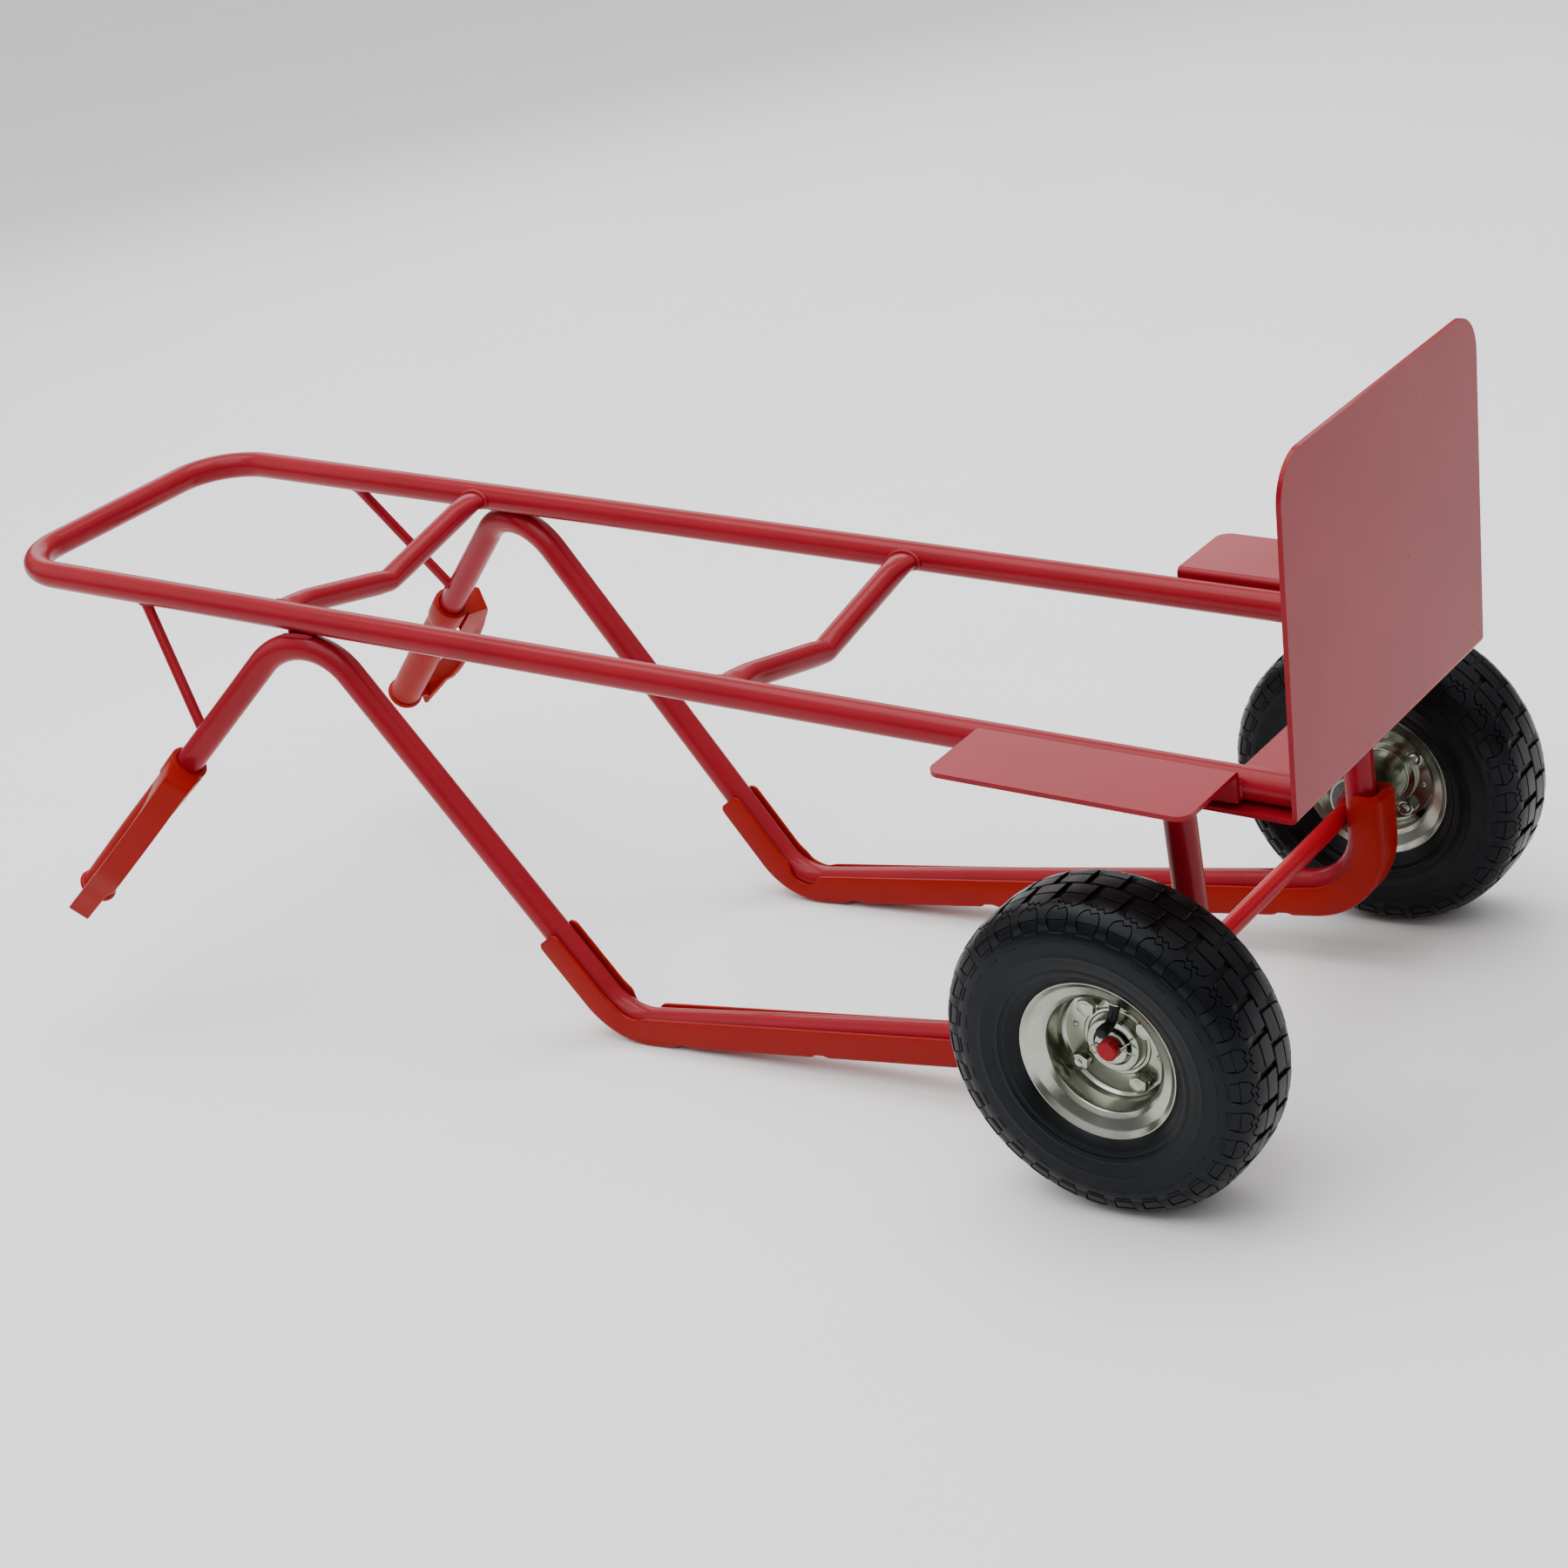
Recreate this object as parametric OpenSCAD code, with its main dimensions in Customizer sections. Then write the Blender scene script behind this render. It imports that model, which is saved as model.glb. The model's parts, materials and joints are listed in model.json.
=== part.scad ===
// Hand truck of bent steel tube, lying on its two wheels and on the heels of its two skids.
// Everything is designed in the plane of the rails: X runs towards the toe plate, whose ground
// face is at X = 0, Y runs across with the left side positive, and Z is square to the rails.
// place() then turns the finished parts into the resting pose, with the floor at Z = 0.

/* [Main frame] */
// Outside diameter of the frame tube
tube_d = 25; // [22:1:28]
// Wall thickness of the frame tube
tube_wall = 2; // [1.5:0.5:3]
// Distance between the centre lines of the two rails
rail_gauge = 290; // [260:5:340]
// Distance from the toe plate's ground face to the centre line of the end bar
frame_length = 1331; // [1250:1:1450]
// Bend radius at the two corners of the main frame, on the centre line
corner_r = 60; // [50:5:90]
// Distance of the upper cross bar from the toe plate's ground face
upper_bar_at = 992; // [985:1:1000]
// Distance of the lower cross bar from the toe plate's ground face
lower_bar_at = 512; // [450:1:600]
// Diameter of the two cross bars
cross_bar_d = 22; // [18:1:24]
// How far the cross bars dip at their middle
cross_bar_dip = 28; // [15:1:40]

/* [Side tubes] */
// Distance from the toe plate to the corner point of the apex under the rail
apex_at = 959; // [950:1:970]
// Bend radius at the apex
apex_bend_r = 60.5; // [60:0.5:61]
// Distance from the toe plate to the corner point of the skid's heel
heel_at = 669; // [650:1:690]
// Depth of the heel's corner point below the rails
heel_depth = 345; // [335:1:348]
// Bend radius at the heel of the skid
heel_bend_r = 55; // [50:5:70]
// Distance from the toe plate to the corner point of the skid's toe
skid_toe_at = 95.5; // [94:0.5:98]
// Depth of the skid toe's corner point below the rails
skid_toe_depth = 236; // [232:1:240]
// Bend radius at the toe of the skid
skid_toe_bend_r = 55; // [45:5:65]
// Inward lean of the side tubes per millimetre of depth
side_lean = 0.03; // [0.01:0.005:0.035]
// Length of the handle tube from the apex corner to its end
handle_length = 392; // [360:1:400]
// Slope of the handle below the rails
handle_slope = 47.6; // [45:0.1:50]
// Outward splay of the handle
handle_splay = 11.3; // [9:0.1:13]
// Diameter of the strut between rail and handle
strut_d = 10; // [8:1:12]

/* [Toe plate and guards] */
// Thickness of the toe plate and of the wheel guards
sheet = 4; // [3:0.5:5]
// Width of the toe plate
toe_width = 330; // [316:2:400]
// Height of the toe plate above the rail centre line
toe_height = 257.6; // [200:0.1:320]
// Length of the flange under the rails
toe_flange = 75; // [60:1:85]
// Radius of the toe plate's two front corners
toe_corner_r = 34; // [20:1:60]
// Length of a wheel guard
guard_length = 214; // [160:1:240]
// Distance from the toe plate's ground face to the near end of a wheel guard
guard_at = 48; // [45:1:60]
// Distance of a wheel guard's outer edge from the middle of the truck
guard_reach = 238; // [220:1:260]
// Height of a wheel guard's top above the rail centre line
guard_top = 16; // [14:1:18]

/* [Wheels and axle] */
// Outside diameter of the tyres
tyre_d = 260; // [250:1:265]
// Width of the tyres
tyre_width = 85; // [75:1:90]
// Distance between the middle planes of the two wheels
wheel_track = 476; // [474:1:490]
// Depth of the axle below the rails
axle_depth = 180; // [175:1:185]
// Diameter of the axle rod
axle_d = 16; // [15:0.5:17]
// Length of the axle rod
axle_length = 509; // [508:1:512]
// Pitch circle of the four rim bolts
bolt_circle_d = 69; // [66:1:72]
// Diameter of the rim bolts
bolt_d = 8; // [6:1:8]
// Angle of the first rim bolt about the axle
bolt_angle = 34.4; // [0:0.1:90]
// Angle of the valve about the axle
valve_angle = 76; // [70:1:80]
// Running clearance between the turning and the fixed wheel parts
running_gap = 0.3; // [0.2:0.05:0.5]

/* [Plastic parts] */
// Width of the skid covers
cover_width = 32; // [30:1:36]
// Thickness of a skid cover from its own centre line down to its underside
cover_depth = 20; // [19:0.5:22]
// Height of a skid cover's walls above its own centre line
cover_wall = 7; // [5:0.5:9]
// Length of a skid cover up the diagonal
cover_back_run = 98; // [90:1:110]
// Length of a skid cover up the upright
cover_front_run = 91; // [80:1:100]
// Spacing of the notches in the cover's sole
notch_pitch = 147; // [130:1:150]
// Length of a hand grip
grip_length = 188; // [170:1:200]
// Diameter of a hand grip's barrel
grip_d = 31; // [29:0.5:34]
// Farthest reach of the knuckle guard from the grip's centre line
knuckle_reach = 46; // [42:1:50]
// Width of the knuckle guard
knuckle_width = 24; // [18:1:28]

/* [Hidden] */
$fn = 64;
left = 1;
right = -1;
paint = [0.70, 0.16, 0.17];
red_plastic = [0.78, 0.12, 0.08];
zinc = [0.74, 0.76, 0.70];
bright_steel = [0.80, 0.80, 0.80];
black_rubber = [0.06, 0.06, 0.07];

tube_r = tube_d / 2;
cut = 1;
lap = 0.25;
thinning = 0.03;
play = 0.05;
leg_drop = 25;
rail_y = rail_gauge / 2;
axle_r = axle_d / 2;
tyre_r = tyre_d / 2;
wheel_y = wheel_track / 2;

// Corner points of a side tube
side_offset = 2.5;
function side_point(x, z) = [x, rail_y + side_offset + side_lean * z, z];
apex_point = side_point(-apex_at, 7);
heel_point = side_point(-heel_at, -heel_depth);
skid_toe_point = side_point(-skid_toe_at, -skid_toe_depth);
upright_top = side_point(-skid_toe_at - 10.5, 0);
handle_dir = [
    -cos(handle_slope) * cos(handle_splay), sin(handle_splay), -sin(handle_slope) * cos(handle_splay)
];
handle_end = apex_point + handle_length * handle_dir;
side_path = [handle_end, apex_point, heel_point, skid_toe_point, upright_top];
side_bends = [0, apex_bend_r, heel_bend_r, skid_toe_bend_r, 0];

// The axle touches the rear of the uprights
upright_slope = (upright_top[0] - skid_toe_point[0]) / (upright_top[2] - skid_toe_point[2]);
upright_x = skid_toe_point[0] + upright_slope * (skid_toe_depth - axle_depth);
axle_x = upright_x - tube_r - axle_r + 0.2;
axle_at = [axle_x, 0, -axle_depth];

function unit(v) = v / norm(v);
function turn(path, i) = acos(unit(path[i] - path[i - 1]) * unit(path[i + 1] - path[i]));
function inner(path, i) = i > 0 && i < len(path) - 1;
function trim(path, radii, i) = inner(path, i) ? radii[i] * tan(turn(path, i) / 2) : 0;
function leave(path, radii, i) = path[i] + trim(path, radii, i) * unit(path[i + 1] - path[i]);
function arrive(path, radii, i) = path[i] - trim(path, radii, i) * unit(path[i] - path[i - 1]);
function inward(path, i) =
    let (a = unit(path[i] - path[i - 1]), b = unit(path[i + 1] - path[i]))
    unit(b - (b * a) * a);
function bend_centre(path, radii, i) = arrive(path, radii, i) + radii[i] * inward(path, i);

// Centre line of a skid cover: it rises inside the heel and sinks below the skid at the toe
diagonal_dir = unit(heel_point - apex_point);
upright_dir = unit(upright_top - skid_toe_point);
heel_lift = 3.65;
toe_drop = 4.5;
toe_lead = 4;
heel_shift = heel_lift / cos(turn(side_path, 2) / 2);
cover_heel = heel_point + heel_shift * unit(unit(skid_toe_point - heel_point) - diagonal_dir);
cover_toe = side_point(toe_lead - skid_toe_at, -skid_toe_depth - toe_drop);
cover_path = [
    cover_heel - cover_back_run * diagonal_dir, cover_heel,
    cover_toe, cover_toe + cover_front_run * upright_dir
];
channel_path = [
    heel_point - 1.5 * cover_back_run * diagonal_dir, heel_point,
    skid_toe_point, skid_toe_point + 1.5 * cover_front_run * upright_dir
];
skid_bends = [0, heel_bend_r, skid_toe_bend_r, 0];

// Resting pose: a line that touches both the tyres and the heels of the skid covers
heel_centre = bend_centre(cover_path, skid_bends, 1);
heel_out_r = heel_bend_r + cover_depth;
wheel_to_heel = [axle_x - heel_centre[0], -axle_depth - heel_centre[2]];
rest_tilt = atan2(wheel_to_heel[1], wheel_to_heel[0])
    - asin((tyre_r - heel_out_r) / norm(wheel_to_heel));
function tilted_x(x, z) = x * cos(rest_tilt) + z * sin(rest_tilt);
function tilted_z(x, z) = z * cos(rest_tilt) - x * sin(rest_tilt);
floor_z = tilted_z(axle_x, -axle_depth) - tyre_r;
far_end = tilted_x(-frame_length, 0) - tube_r;
toe_end = tilted_x(0, toe_height);
mid_x = (far_end + toe_end) / 2;

// Wheel measures, along the axle from the tyre's middle plane, outboard positive
rim_steel = 2;
disc_steel = 2.5;
split_z = -4;
rim_half_width = 31.5;
barrel_r = 49;
hub_r = 22;
race_r = 20;
lip_r = 15.5;
lip_w = 2;
hub_out = 6.5;
hub_in = -68;
bearing_w = 12;
bearing_starts = [hub_out - lip_w - bearing_w, hub_in];
outer_race_wall = 3;
inner_race_r = 12;
ball_ring_r = 14.5;
ball_r = 2.4;
ball_count = 8;
shield_w = 1;
inner_race_out = hub_out + 0.6;
washer_r = 13.5;
washer_w = 2.5;
collar_r = 12;
collar_w = 9;
pin_wire_r = 1.5;
pin_z = inner_race_out + washer_w + pin_wire_r + 0.4;
pin_angle = 13;
hex_across = 13;
head_h = 5.3;
thin_nut_h = 5;
nut_h = 6.5;
stud_out = 4;
valve_r = 4;
valve_z = 15;
valve_reach_r = 27;
valve_tip_z = 24;
valve_bend_r = 6;
valve_path = [[64, 0, valve_z], [valve_reach_r, 0, valve_z], [valve_reach_r, 0, valve_tip_z]];

// Turns a part from the rails' plane into the resting pose on the floor
module place() {
    translate([-mid_x, 0, -floor_z]) rotate([0, rest_tilt, 0]) children();
}

// Mirrors a part to the right side
module on_side(side) {
    if (side == left) children();
    if (side == right) mirror([0, 1, 0]) children();
}

// Lays +Z of its children along the line from a to b
module along(a, b) {
    z = unit(b - a);
    x = unit(cross(abs(z[1]) < 0.9 ? [0, 1, 0] : [1, 0, 0], z));
    y = cross(z, x);
    multmatrix([
        [x[0], y[0], z[0], a[0]],
        [x[1], y[1], z[1], a[1]],
        [x[2], y[2], z[2], a[2]],
        [0, 0, 0, 1]
    ]) children();
}

module rod(a, b, r) {
    along(a, b) cylinder(r = r, h = norm(b - a));
}

// Local frame of a bend: X points away from the bend's centre, Y along the arriving direction
module at_bend(path, radii, i) {
    y = unit(path[i] - path[i - 1]);
    x = -inward(path, i);
    z = cross(x, y);
    c = arrive(path, radii, i) - radii[i] * x;
    multmatrix([
        [x[0], y[0], z[0], c[0]],
        [x[1], y[1], z[1], c[1]],
        [x[2], y[2], z[2], c[2]],
        [0, 0, 0, 1]
    ]) children();
}

// Round bar along a path with rounded corners: bending thins the bar by a hair,
// and each straight runs a little way into its bends
module bent_bar(path, radii, r) {
    for (i = [0 : len(path) - 2]) {
        run_in = lap * unit(path[i + 1] - path[i]);
        start = leave(path, radii, i) - (inner(path, i) ? run_in : [0, 0, 0]);
        end = arrive(path, radii, i + 1) + (inner(path, i + 1) ? run_in : [0, 0, 0]);
        rod(start, end, r);
    }
    for (i = [1 : len(path) - 2]) {
        at_bend(path, radii, i)
            rotate_extrude(angle = turn(path, i))
                translate([radii[i], 0]) circle(r = r - thinning);
    }
}

// Tube along a path: the bore runs out past both ends
module bent_tube(path, radii, r, wall) {
    last = len(path) - 1;
    start = path[0] + cut * unit(path[0] - path[1]);
    end = path[last] + cut * unit(path[last] - path[last - 1]);
    bore_path = [for (i = [0 : last]) i == 0 ? start : i == last ? end : path[i]];
    difference() {
        bent_bar(path, radii, r);
        bent_bar(bore_path, radii, r - wall);
    }
}

// Solid space taken by the two rails
module rail_space() {
    for (side = [left, right]) {
        rod([-frame_length + corner_r, side * rail_y, 0], [-sheet, side * rail_y, 0], tube_r);
    }
}

module main_frame_tube() {
    path = [
        [-sheet, rail_y, 0], [-frame_length, rail_y, 0],
        [-frame_length, -rail_y, 0], [-sheet, -rail_y, 0]
    ];
    color(paint) place() bent_tube(path, [0, corner_r, corner_r, 0], tube_r, tube_wall);
}

// Cross bar: level stubs at the rails and a sharp crease in the middle
module cross_bar(at) {
    stub = 22;
    crease_r = cross_bar_d / 2 + 8;
    path = [
        [-at, rail_y, 0], [-at, rail_y - stub, 0], [-at, 0, -cross_bar_dip],
        [-at, stub - rail_y, 0], [-at, -rail_y, 0]
    ];
    color(paint) place() difference() {
        bent_tube(path, [0, 30, crease_r, 30, 0], cross_bar_d / 2, tube_wall);
        rail_space();
    }
}

module upper_cross_bar() {
    cross_bar(upper_bar_at);
}

module lower_cross_bar() {
    cross_bar(lower_bar_at);
}

module axle_space() {
    rod(axle_at - [0, axle_length / 2, 0], axle_at + [0, axle_length / 2, 0], axle_r);
}

// Space taken by the turned-down leg of a wheel guard
module guard_leg_space() {
    translate([-guard_at - guard_length - play, rail_y + tube_r - play, guard_top - leg_drop - play])
        cube([guard_length + 2 * play, sheet + 2 * play, leg_drop + 2 * play]);
}

// Side tube: handle, apex under the rail, diagonal, skid and upright in one piece
module side_tube(side) {
    color(paint) place() on_side(side) difference() {
        bent_tube(side_path, side_bends, tube_r, tube_wall);
        rail_space();
        axle_space();
        guard_leg_space();
    }
}

// Thin brace from the rail's underside to the handle
module handle_strut(side) {
    foot = apex_point + 180 * handle_dir - [0, 5, 0];
    head = [foot[0] - 83, rail_y - 1, 0];
    color(paint) place() on_side(side) difference() {
        rod(head, foot, strut_d / 2);
        rail_space();
        rod(apex_point, handle_end, tube_r);
    }
}

// Cross-section of the toe plate: upright sheet, bend and flange
module toe_section() {
    bend_r = sheet + 2;
    bottom = -tube_r - sheet;
    translate([-sheet, bottom + bend_r]) square([sheet, toe_height - bottom - bend_r]);
    translate([-toe_flange, bottom]) square([toe_flange - bend_r, sheet]);
    translate([-bend_r, bottom + bend_r]) intersection() {
        difference() {
            circle(r = bend_r);
            circle(r = bend_r - sheet);
        }
        translate([0, -bend_r]) square(bend_r);
    }
}

// Outline of the toe plate seen from the front, with two rounded corners
module toe_outline() {
    bottom = -tube_r - sheet - cut;
    half = toe_width / 2;
    shoulder = toe_height - toe_corner_r;
    translate([-half, bottom]) square([toe_width, shoulder - bottom]);
    translate([toe_corner_r - half, bottom])
        square([toe_width - 2 * toe_corner_r, toe_height - bottom]);
    for (side = [left, right]) {
        translate([side * (half - toe_corner_r), shoulder]) circle(r = toe_corner_r);
    }
}

module toe_plate() {
    color(paint) place() difference() {
        intersection() {
            translate([0, toe_width / 2, 0]) rotate([90, 0, 0])
                linear_extrude(height = toe_width) toe_section();
            translate([-toe_flange - cut, 0, 0]) rotate([90, 0, 90])
                linear_extrude(height = toe_flange + 2 * cut) toe_outline();
        }
        rail_space();
    }
}

// Wheel guard: a flat top with one edge turned down against the rail
module guard_section() {
    bend_r = sheet + 1;
    leg_x = rail_y + tube_r;
    translate([leg_x + bend_r, guard_top - sheet]) square([guard_reach - leg_x - bend_r, sheet]);
    translate([leg_x, guard_top - leg_drop]) square([sheet, leg_drop - bend_r]);
    translate([leg_x + bend_r, guard_top - bend_r]) intersection() {
        difference() {
            circle(r = bend_r);
            circle(r = bend_r - sheet);
        }
        translate([-bend_r, 0]) square(bend_r);
    }
}

// Outline of a guard seen from above, with two rounded outer corners
module guard_outline() {
    corner = 12;
    leg_y = rail_y + tube_r - cut;
    translate([0, leg_y]) square([guard_length, guard_reach - leg_y - corner]);
    translate([corner, leg_y]) square([guard_length - 2 * corner, guard_reach - leg_y]);
    for (x = [corner, guard_length - corner]) {
        translate([x, guard_reach - corner]) circle(r = corner);
    }
}

module wheel_guard(side) {
    guard_end = -guard_at - guard_length;
    color(paint) place() on_side(side) translate([guard_end, 0, 0]) intersection() {
        rotate([90, 0, 90]) linear_extrude(height = guard_length) guard_section();
        translate([0, 0, -tube_d]) linear_extrude(height = 2 * tube_d) guard_outline();
    }
}

// Axle rod with a hole for a split pin at each end
module axle() {
    chamfer = 1;
    color(paint) place() difference() {
        union() {
            rod(axle_at - [0, axle_length / 2 - chamfer, 0],
                axle_at + [0, axle_length / 2 - chamfer, 0], axle_r);
            for (side = [left, right]) {
                translate(axle_at + side * [0, axle_length / 2 - chamfer, 0])
                    rotate([-90 * side, 0, 0])
                        cylinder(r1 = axle_r, r2 = axle_r - chamfer, h = chamfer);
            }
        }
        for (side = [left, right]) {
            translate(axle_at + side * [0, wheel_y + pin_z, 0]) rotate([0, 90 - pin_angle, 0])
                cylinder(r = pin_wire_r + 0.1, h = axle_d + 2 * cut, center = true);
        }
    }
}

// Frame of a hand grip: the origin at the handle's end, +Z back along the handle,
// +X towards the knuckle guard
module at_grip() {
    z = -handle_dir;
    guard_roll = 22.7;
    out = unit([0, 1, 0] - z[1] * z);
    low = cross(out, z);
    x = cos(guard_roll) * out + sin(guard_roll) * low;
    y = cross(z, x);
    multmatrix([
        [x[0], y[0], z[0], handle_end[0]],
        [x[1], y[1], z[1], handle_end[1]],
        [x[2], y[2], z[2], handle_end[2]],
        [0, 0, 0, 1]
    ]) children();
}

// Outline of the knuckle guard beside the grip: X away from the grip, Y along it
module knuckle_outline() {
    out = knuckle_reach;
    head = grip_length - 3;
    polygon([
        [tube_r + 1, head], [out - 16, head], [out - 11, head - 1.5], [out - 8.5, head - 6],
        [out - 3, head - 39], [out - 0.5, head - 75], [out, head - 100], [out - 0.5, head - 125],
        [out - 2.5, head - 138], [out - 6, head - 149], [out - 12, 8], [out - 17.5, -17],
        [out - 22.5, -16], [out - 18, 12], [out - 12, head - 149], [out - 7.5, head - 123],
        [out - 5, head - 95], [out - 6, head - 78], [out - 9, head - 64], [out - 14, head - 51],
        [out - 20, head - 41], [out - 27, head - 36], [tube_r + 1, head - 34]
    ]);
}

// Hand grip: a sleeve with an end flange, a collar and a knuckle guard that hangs from the collar
module hand_grip(side) {
    end_wall = 3;
    flange_r = grip_d / 2 + 3;
    flange_w = 6;
    collar_grip_r = grip_d / 2 + 2;
    collar_len = 26;
    sleeve_len = grip_length - end_wall;
    color(red_plastic) place() on_side(side) at_grip() difference() {
        union() {
            translate([0, 0, -end_wall]) cylinder(r = flange_r, h = flange_w);
            translate([0, 0, -end_wall]) cylinder(r = grip_d / 2, h = grip_length);
            translate([0, 0, sleeve_len - collar_len]) cylinder(r = collar_grip_r, h = collar_len);
            translate([0, knuckle_width / 2, 0]) rotate([90, 0, 0])
                linear_extrude(height = knuckle_width) knuckle_outline();
        }
        translate([0, 0, -play]) cylinder(r = tube_r + play, h = grip_length + cut);
    }
}

// Cross-section of a skid cover, thinner by slim on every side: +X points down to the sole
module cover_section(slim) {
    edge = 4;
    half = cover_width / 2 - slim;
    top = cover_wall - slim;
    bottom = cover_depth - slim;
    translate([-top, -half]) square([bottom - edge + top, 2 * half]);
    translate([-top, edge - half]) square([bottom + top, 2 * half - 2 * edge]);
    for (side = [left, right]) {
        translate([bottom - edge, side * (half - edge)]) circle(r = edge, $fn = 32);
    }
}

// Cross-section of the channel in a skid cover: it holds the tube and is open above it
module channel_section(slim) {
    r = tube_r + 2 * play - slim;
    circle(r = r);
    translate([-tube_d, -r]) square([tube_d, 2 * r]);
}

// Sweeps two sections along a skid's path: the first child is used in the straights,
// the second in the bends, and each straight runs a little way into its bends
module sweep(path) {
    for (i = [0 : 2]) {
        a = leave(path, skid_bends, i);
        b = arrive(path, skid_bends, i + 1);
        z = unit(b - a);
        down = i < 2 ? -inward(path, i + 1) : unit(a - bend_centre(path, skid_bends, i));
        y = cross(z, down);
        start = a - lap * z;
        multmatrix([
            [down[0], y[0], z[0], start[0]],
            [down[1], y[1], z[1], start[1]],
            [down[2], y[2], z[2], start[2]],
            [0, 0, 0, 1]
        ]) linear_extrude(height = norm(b - a) + 2 * lap) children(0);
    }
    for (i = [1, 2]) {
        at_bend(path, skid_bends, i) rotate_extrude(angle = turn(path, i))
            translate([skid_bends[i], 0]) children(1);
    }
}

// Skid cover: a channel under the skid that runs up the diagonal and up the upright
module skid_cover(side) {
    notch_r = 16;
    notch_depth = 2;
    first_notch = 72;
    skid_dir = unit(cover_toe - cover_heel);
    down = -inward(cover_path, 2);
    color(red_plastic) place() on_side(side) difference() {
        sweep(cover_path) {
            cover_section(0);
            cover_section(thinning);
        }
        sweep(channel_path) {
            channel_section(0);
            channel_section(thinning);
        }
        for (i = [0 : 3]) {
            centre = cover_heel + (first_notch + i * notch_pitch) * skid_dir
                + (cover_depth + notch_r - notch_depth) * down;
            translate(centre - [0, cover_width, 0]) rotate([-90, 0, 0])
                cylinder(r = notch_r, h = 2 * cover_width);
        }
        axle_space();
    }
}

// Frame of a wheel: the origin at its middle, +Z outboard along the axle, +X forward
module at_wheel(side) {
    place() on_side(side) translate([axle_x, wheel_y, -axle_depth])
        multmatrix([[1, 0, 0, 0], [0, 0, 1, 0], [0, -1, 0, 0], [0, 0, 0, 1]]) children();
}

// Half of the tyre's outline, bead to crown, as [radius, distance from the middle plane]
tyre_outside = [
    [barrel_r + 0.2, 9], [barrel_r + 0.2, 18.5], [53, 21.4], [61, 25], [66, 29.5], [76, 37.5],
    [88, tyre_width / 2], [100, tyre_width / 2], [112, 41], [121, 38], [126.5, 33],
    [129.5, 24], [tyre_r, 15]
];
tyre_inside = [
    [tyre_r - 7, 12], [120, 20], [112, 28], [100, 34], [88, 34.5], [76, 30], [66, 22], [58, 15]
];
function flipped(half) = [for (i = [len(half) - 1 : -1 : 0]) [half[i][0], -half[i][1]]];

// Space taken by the valve stem where it passes through tyre and rim
module valve_space() {
    rotate([0, 0, -valve_angle]) translate([valve_reach_r + valve_r, 0, valve_z])
        rotate([0, 90, 0]) cylinder(r = valve_r + 0.1, h = 34);
}

module tyre(side) {
    section = concat(
        tyre_outside, flipped(tyre_outside), flipped(tyre_inside), tyre_inside
    );
    color(black_rubber) at_wheel(side) difference() {
        rotate_extrude($fn = 96) polygon(section);
        valve_space();
    }
}

// Inner tube: a thin ring of rubber inside the tyre, with air inside it
module inner_tube(side) {
    section_r = 26;
    centre_r = 92;
    wall = 2;
    color(black_rubber) at_wheel(side) rotate_extrude() translate([centre_r, 0]) difference() {
        circle(r = section_r);
        circle(r = section_r - wall);
    }
}

// Places its children at the four rim bolts
module at_bolts() {
    for (i = [0 : 3]) {
        rotate([0, 0, -bolt_angle - 90 * i]) translate([bolt_circle_d / 2, 0, 0]) children();
    }
}

// Half rim pressed from one sheet: disc, barrel, bead seat and flange, as seen from its open side
module rim_half(width) {
    section = [
        [hub_r, 0], [44, 0], [47.5, 3], [barrel_r, 8], [barrel_r, width - 12], [53, width - 9.4],
        [61, width - 6], [65.5, width - 1.8], [64.2, width], [60, width - 4], [52, width - 7.6],
        [barrel_r - rim_steel, width - 10.6], [barrel_r - rim_steel, 9], [45.5, 5], [42, disc_steel],
        [hub_r, disc_steel]
    ];
    rotate_extrude($fn = 96) polygon(section);
}

module rim_holes() {
    at_bolts() cylinder(r = bolt_d / 2 + 0.2, h = 40, center = true);
    valve_space();
}

module outer_rim(side) {
    color(zinc) at_wheel(side) difference() {
        translate([0, 0, split_z]) rim_half(rim_half_width - split_z);
        rim_holes();
    }
}

module inner_rim(side) {
    color(zinc) at_wheel(side) difference() {
        translate([0, 0, split_z]) mirror([0, 0, 1]) rim_half(rim_half_width + split_z);
        rim_holes();
    }
}

// Hub barrel: holds a bearing at each end, with a rolled lip outboard
module hub_barrel(side) {
    color(zinc) at_wheel(side) difference() {
        translate([0, 0, hub_in]) cylinder(r = hub_r, h = hub_out - hub_in);
        translate([0, 0, hub_in - cut]) cylinder(r = race_r, h = hub_out - lip_w - hub_in + cut);
        translate([0, 0, hub_in]) cylinder(r = lip_r, h = hub_out - hub_in + cut);
    }
}

// Groove for the balls of one bearing, cut from its races
module ball_groove(gap) {
    rotate_extrude() translate([ball_ring_r, 0]) circle(r = ball_r + gap);
}

module bearing_outer_races(side) {
    color(bright_steel) at_wheel(side) for (z = bearing_starts) {
        translate([0, 0, z]) difference() {
            cylinder(r = race_r, h = bearing_w);
            translate([0, 0, -cut]) cylinder(r = race_r - outer_race_wall, h = bearing_w + 2 * cut);
            translate([0, 0, bearing_w / 2]) ball_groove(0.05);
        }
    }
}

module bearing_balls(side) {
    color(bright_steel) at_wheel(side) for (z = bearing_starts, i = [0 : ball_count - 1]) {
        rotate([0, 0, 360 * i / ball_count]) translate([ball_ring_r, 0, z + bearing_w / 2])
            sphere(r = ball_r);
    }
}

module bearing_shields(side) {
    inside = inner_race_r + running_gap;
    outside = race_r - outer_race_wall;
    color(bright_steel) at_wheel(side) for (z = bearing_starts, end = [0, bearing_w - shield_w]) {
        translate([0, 0, z + end]) difference() {
            cylinder(r = outside, h = shield_w);
            translate([0, 0, -cut]) cylinder(r = inside, h = shield_w + 2 * cut);
        }
    }
}

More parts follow.
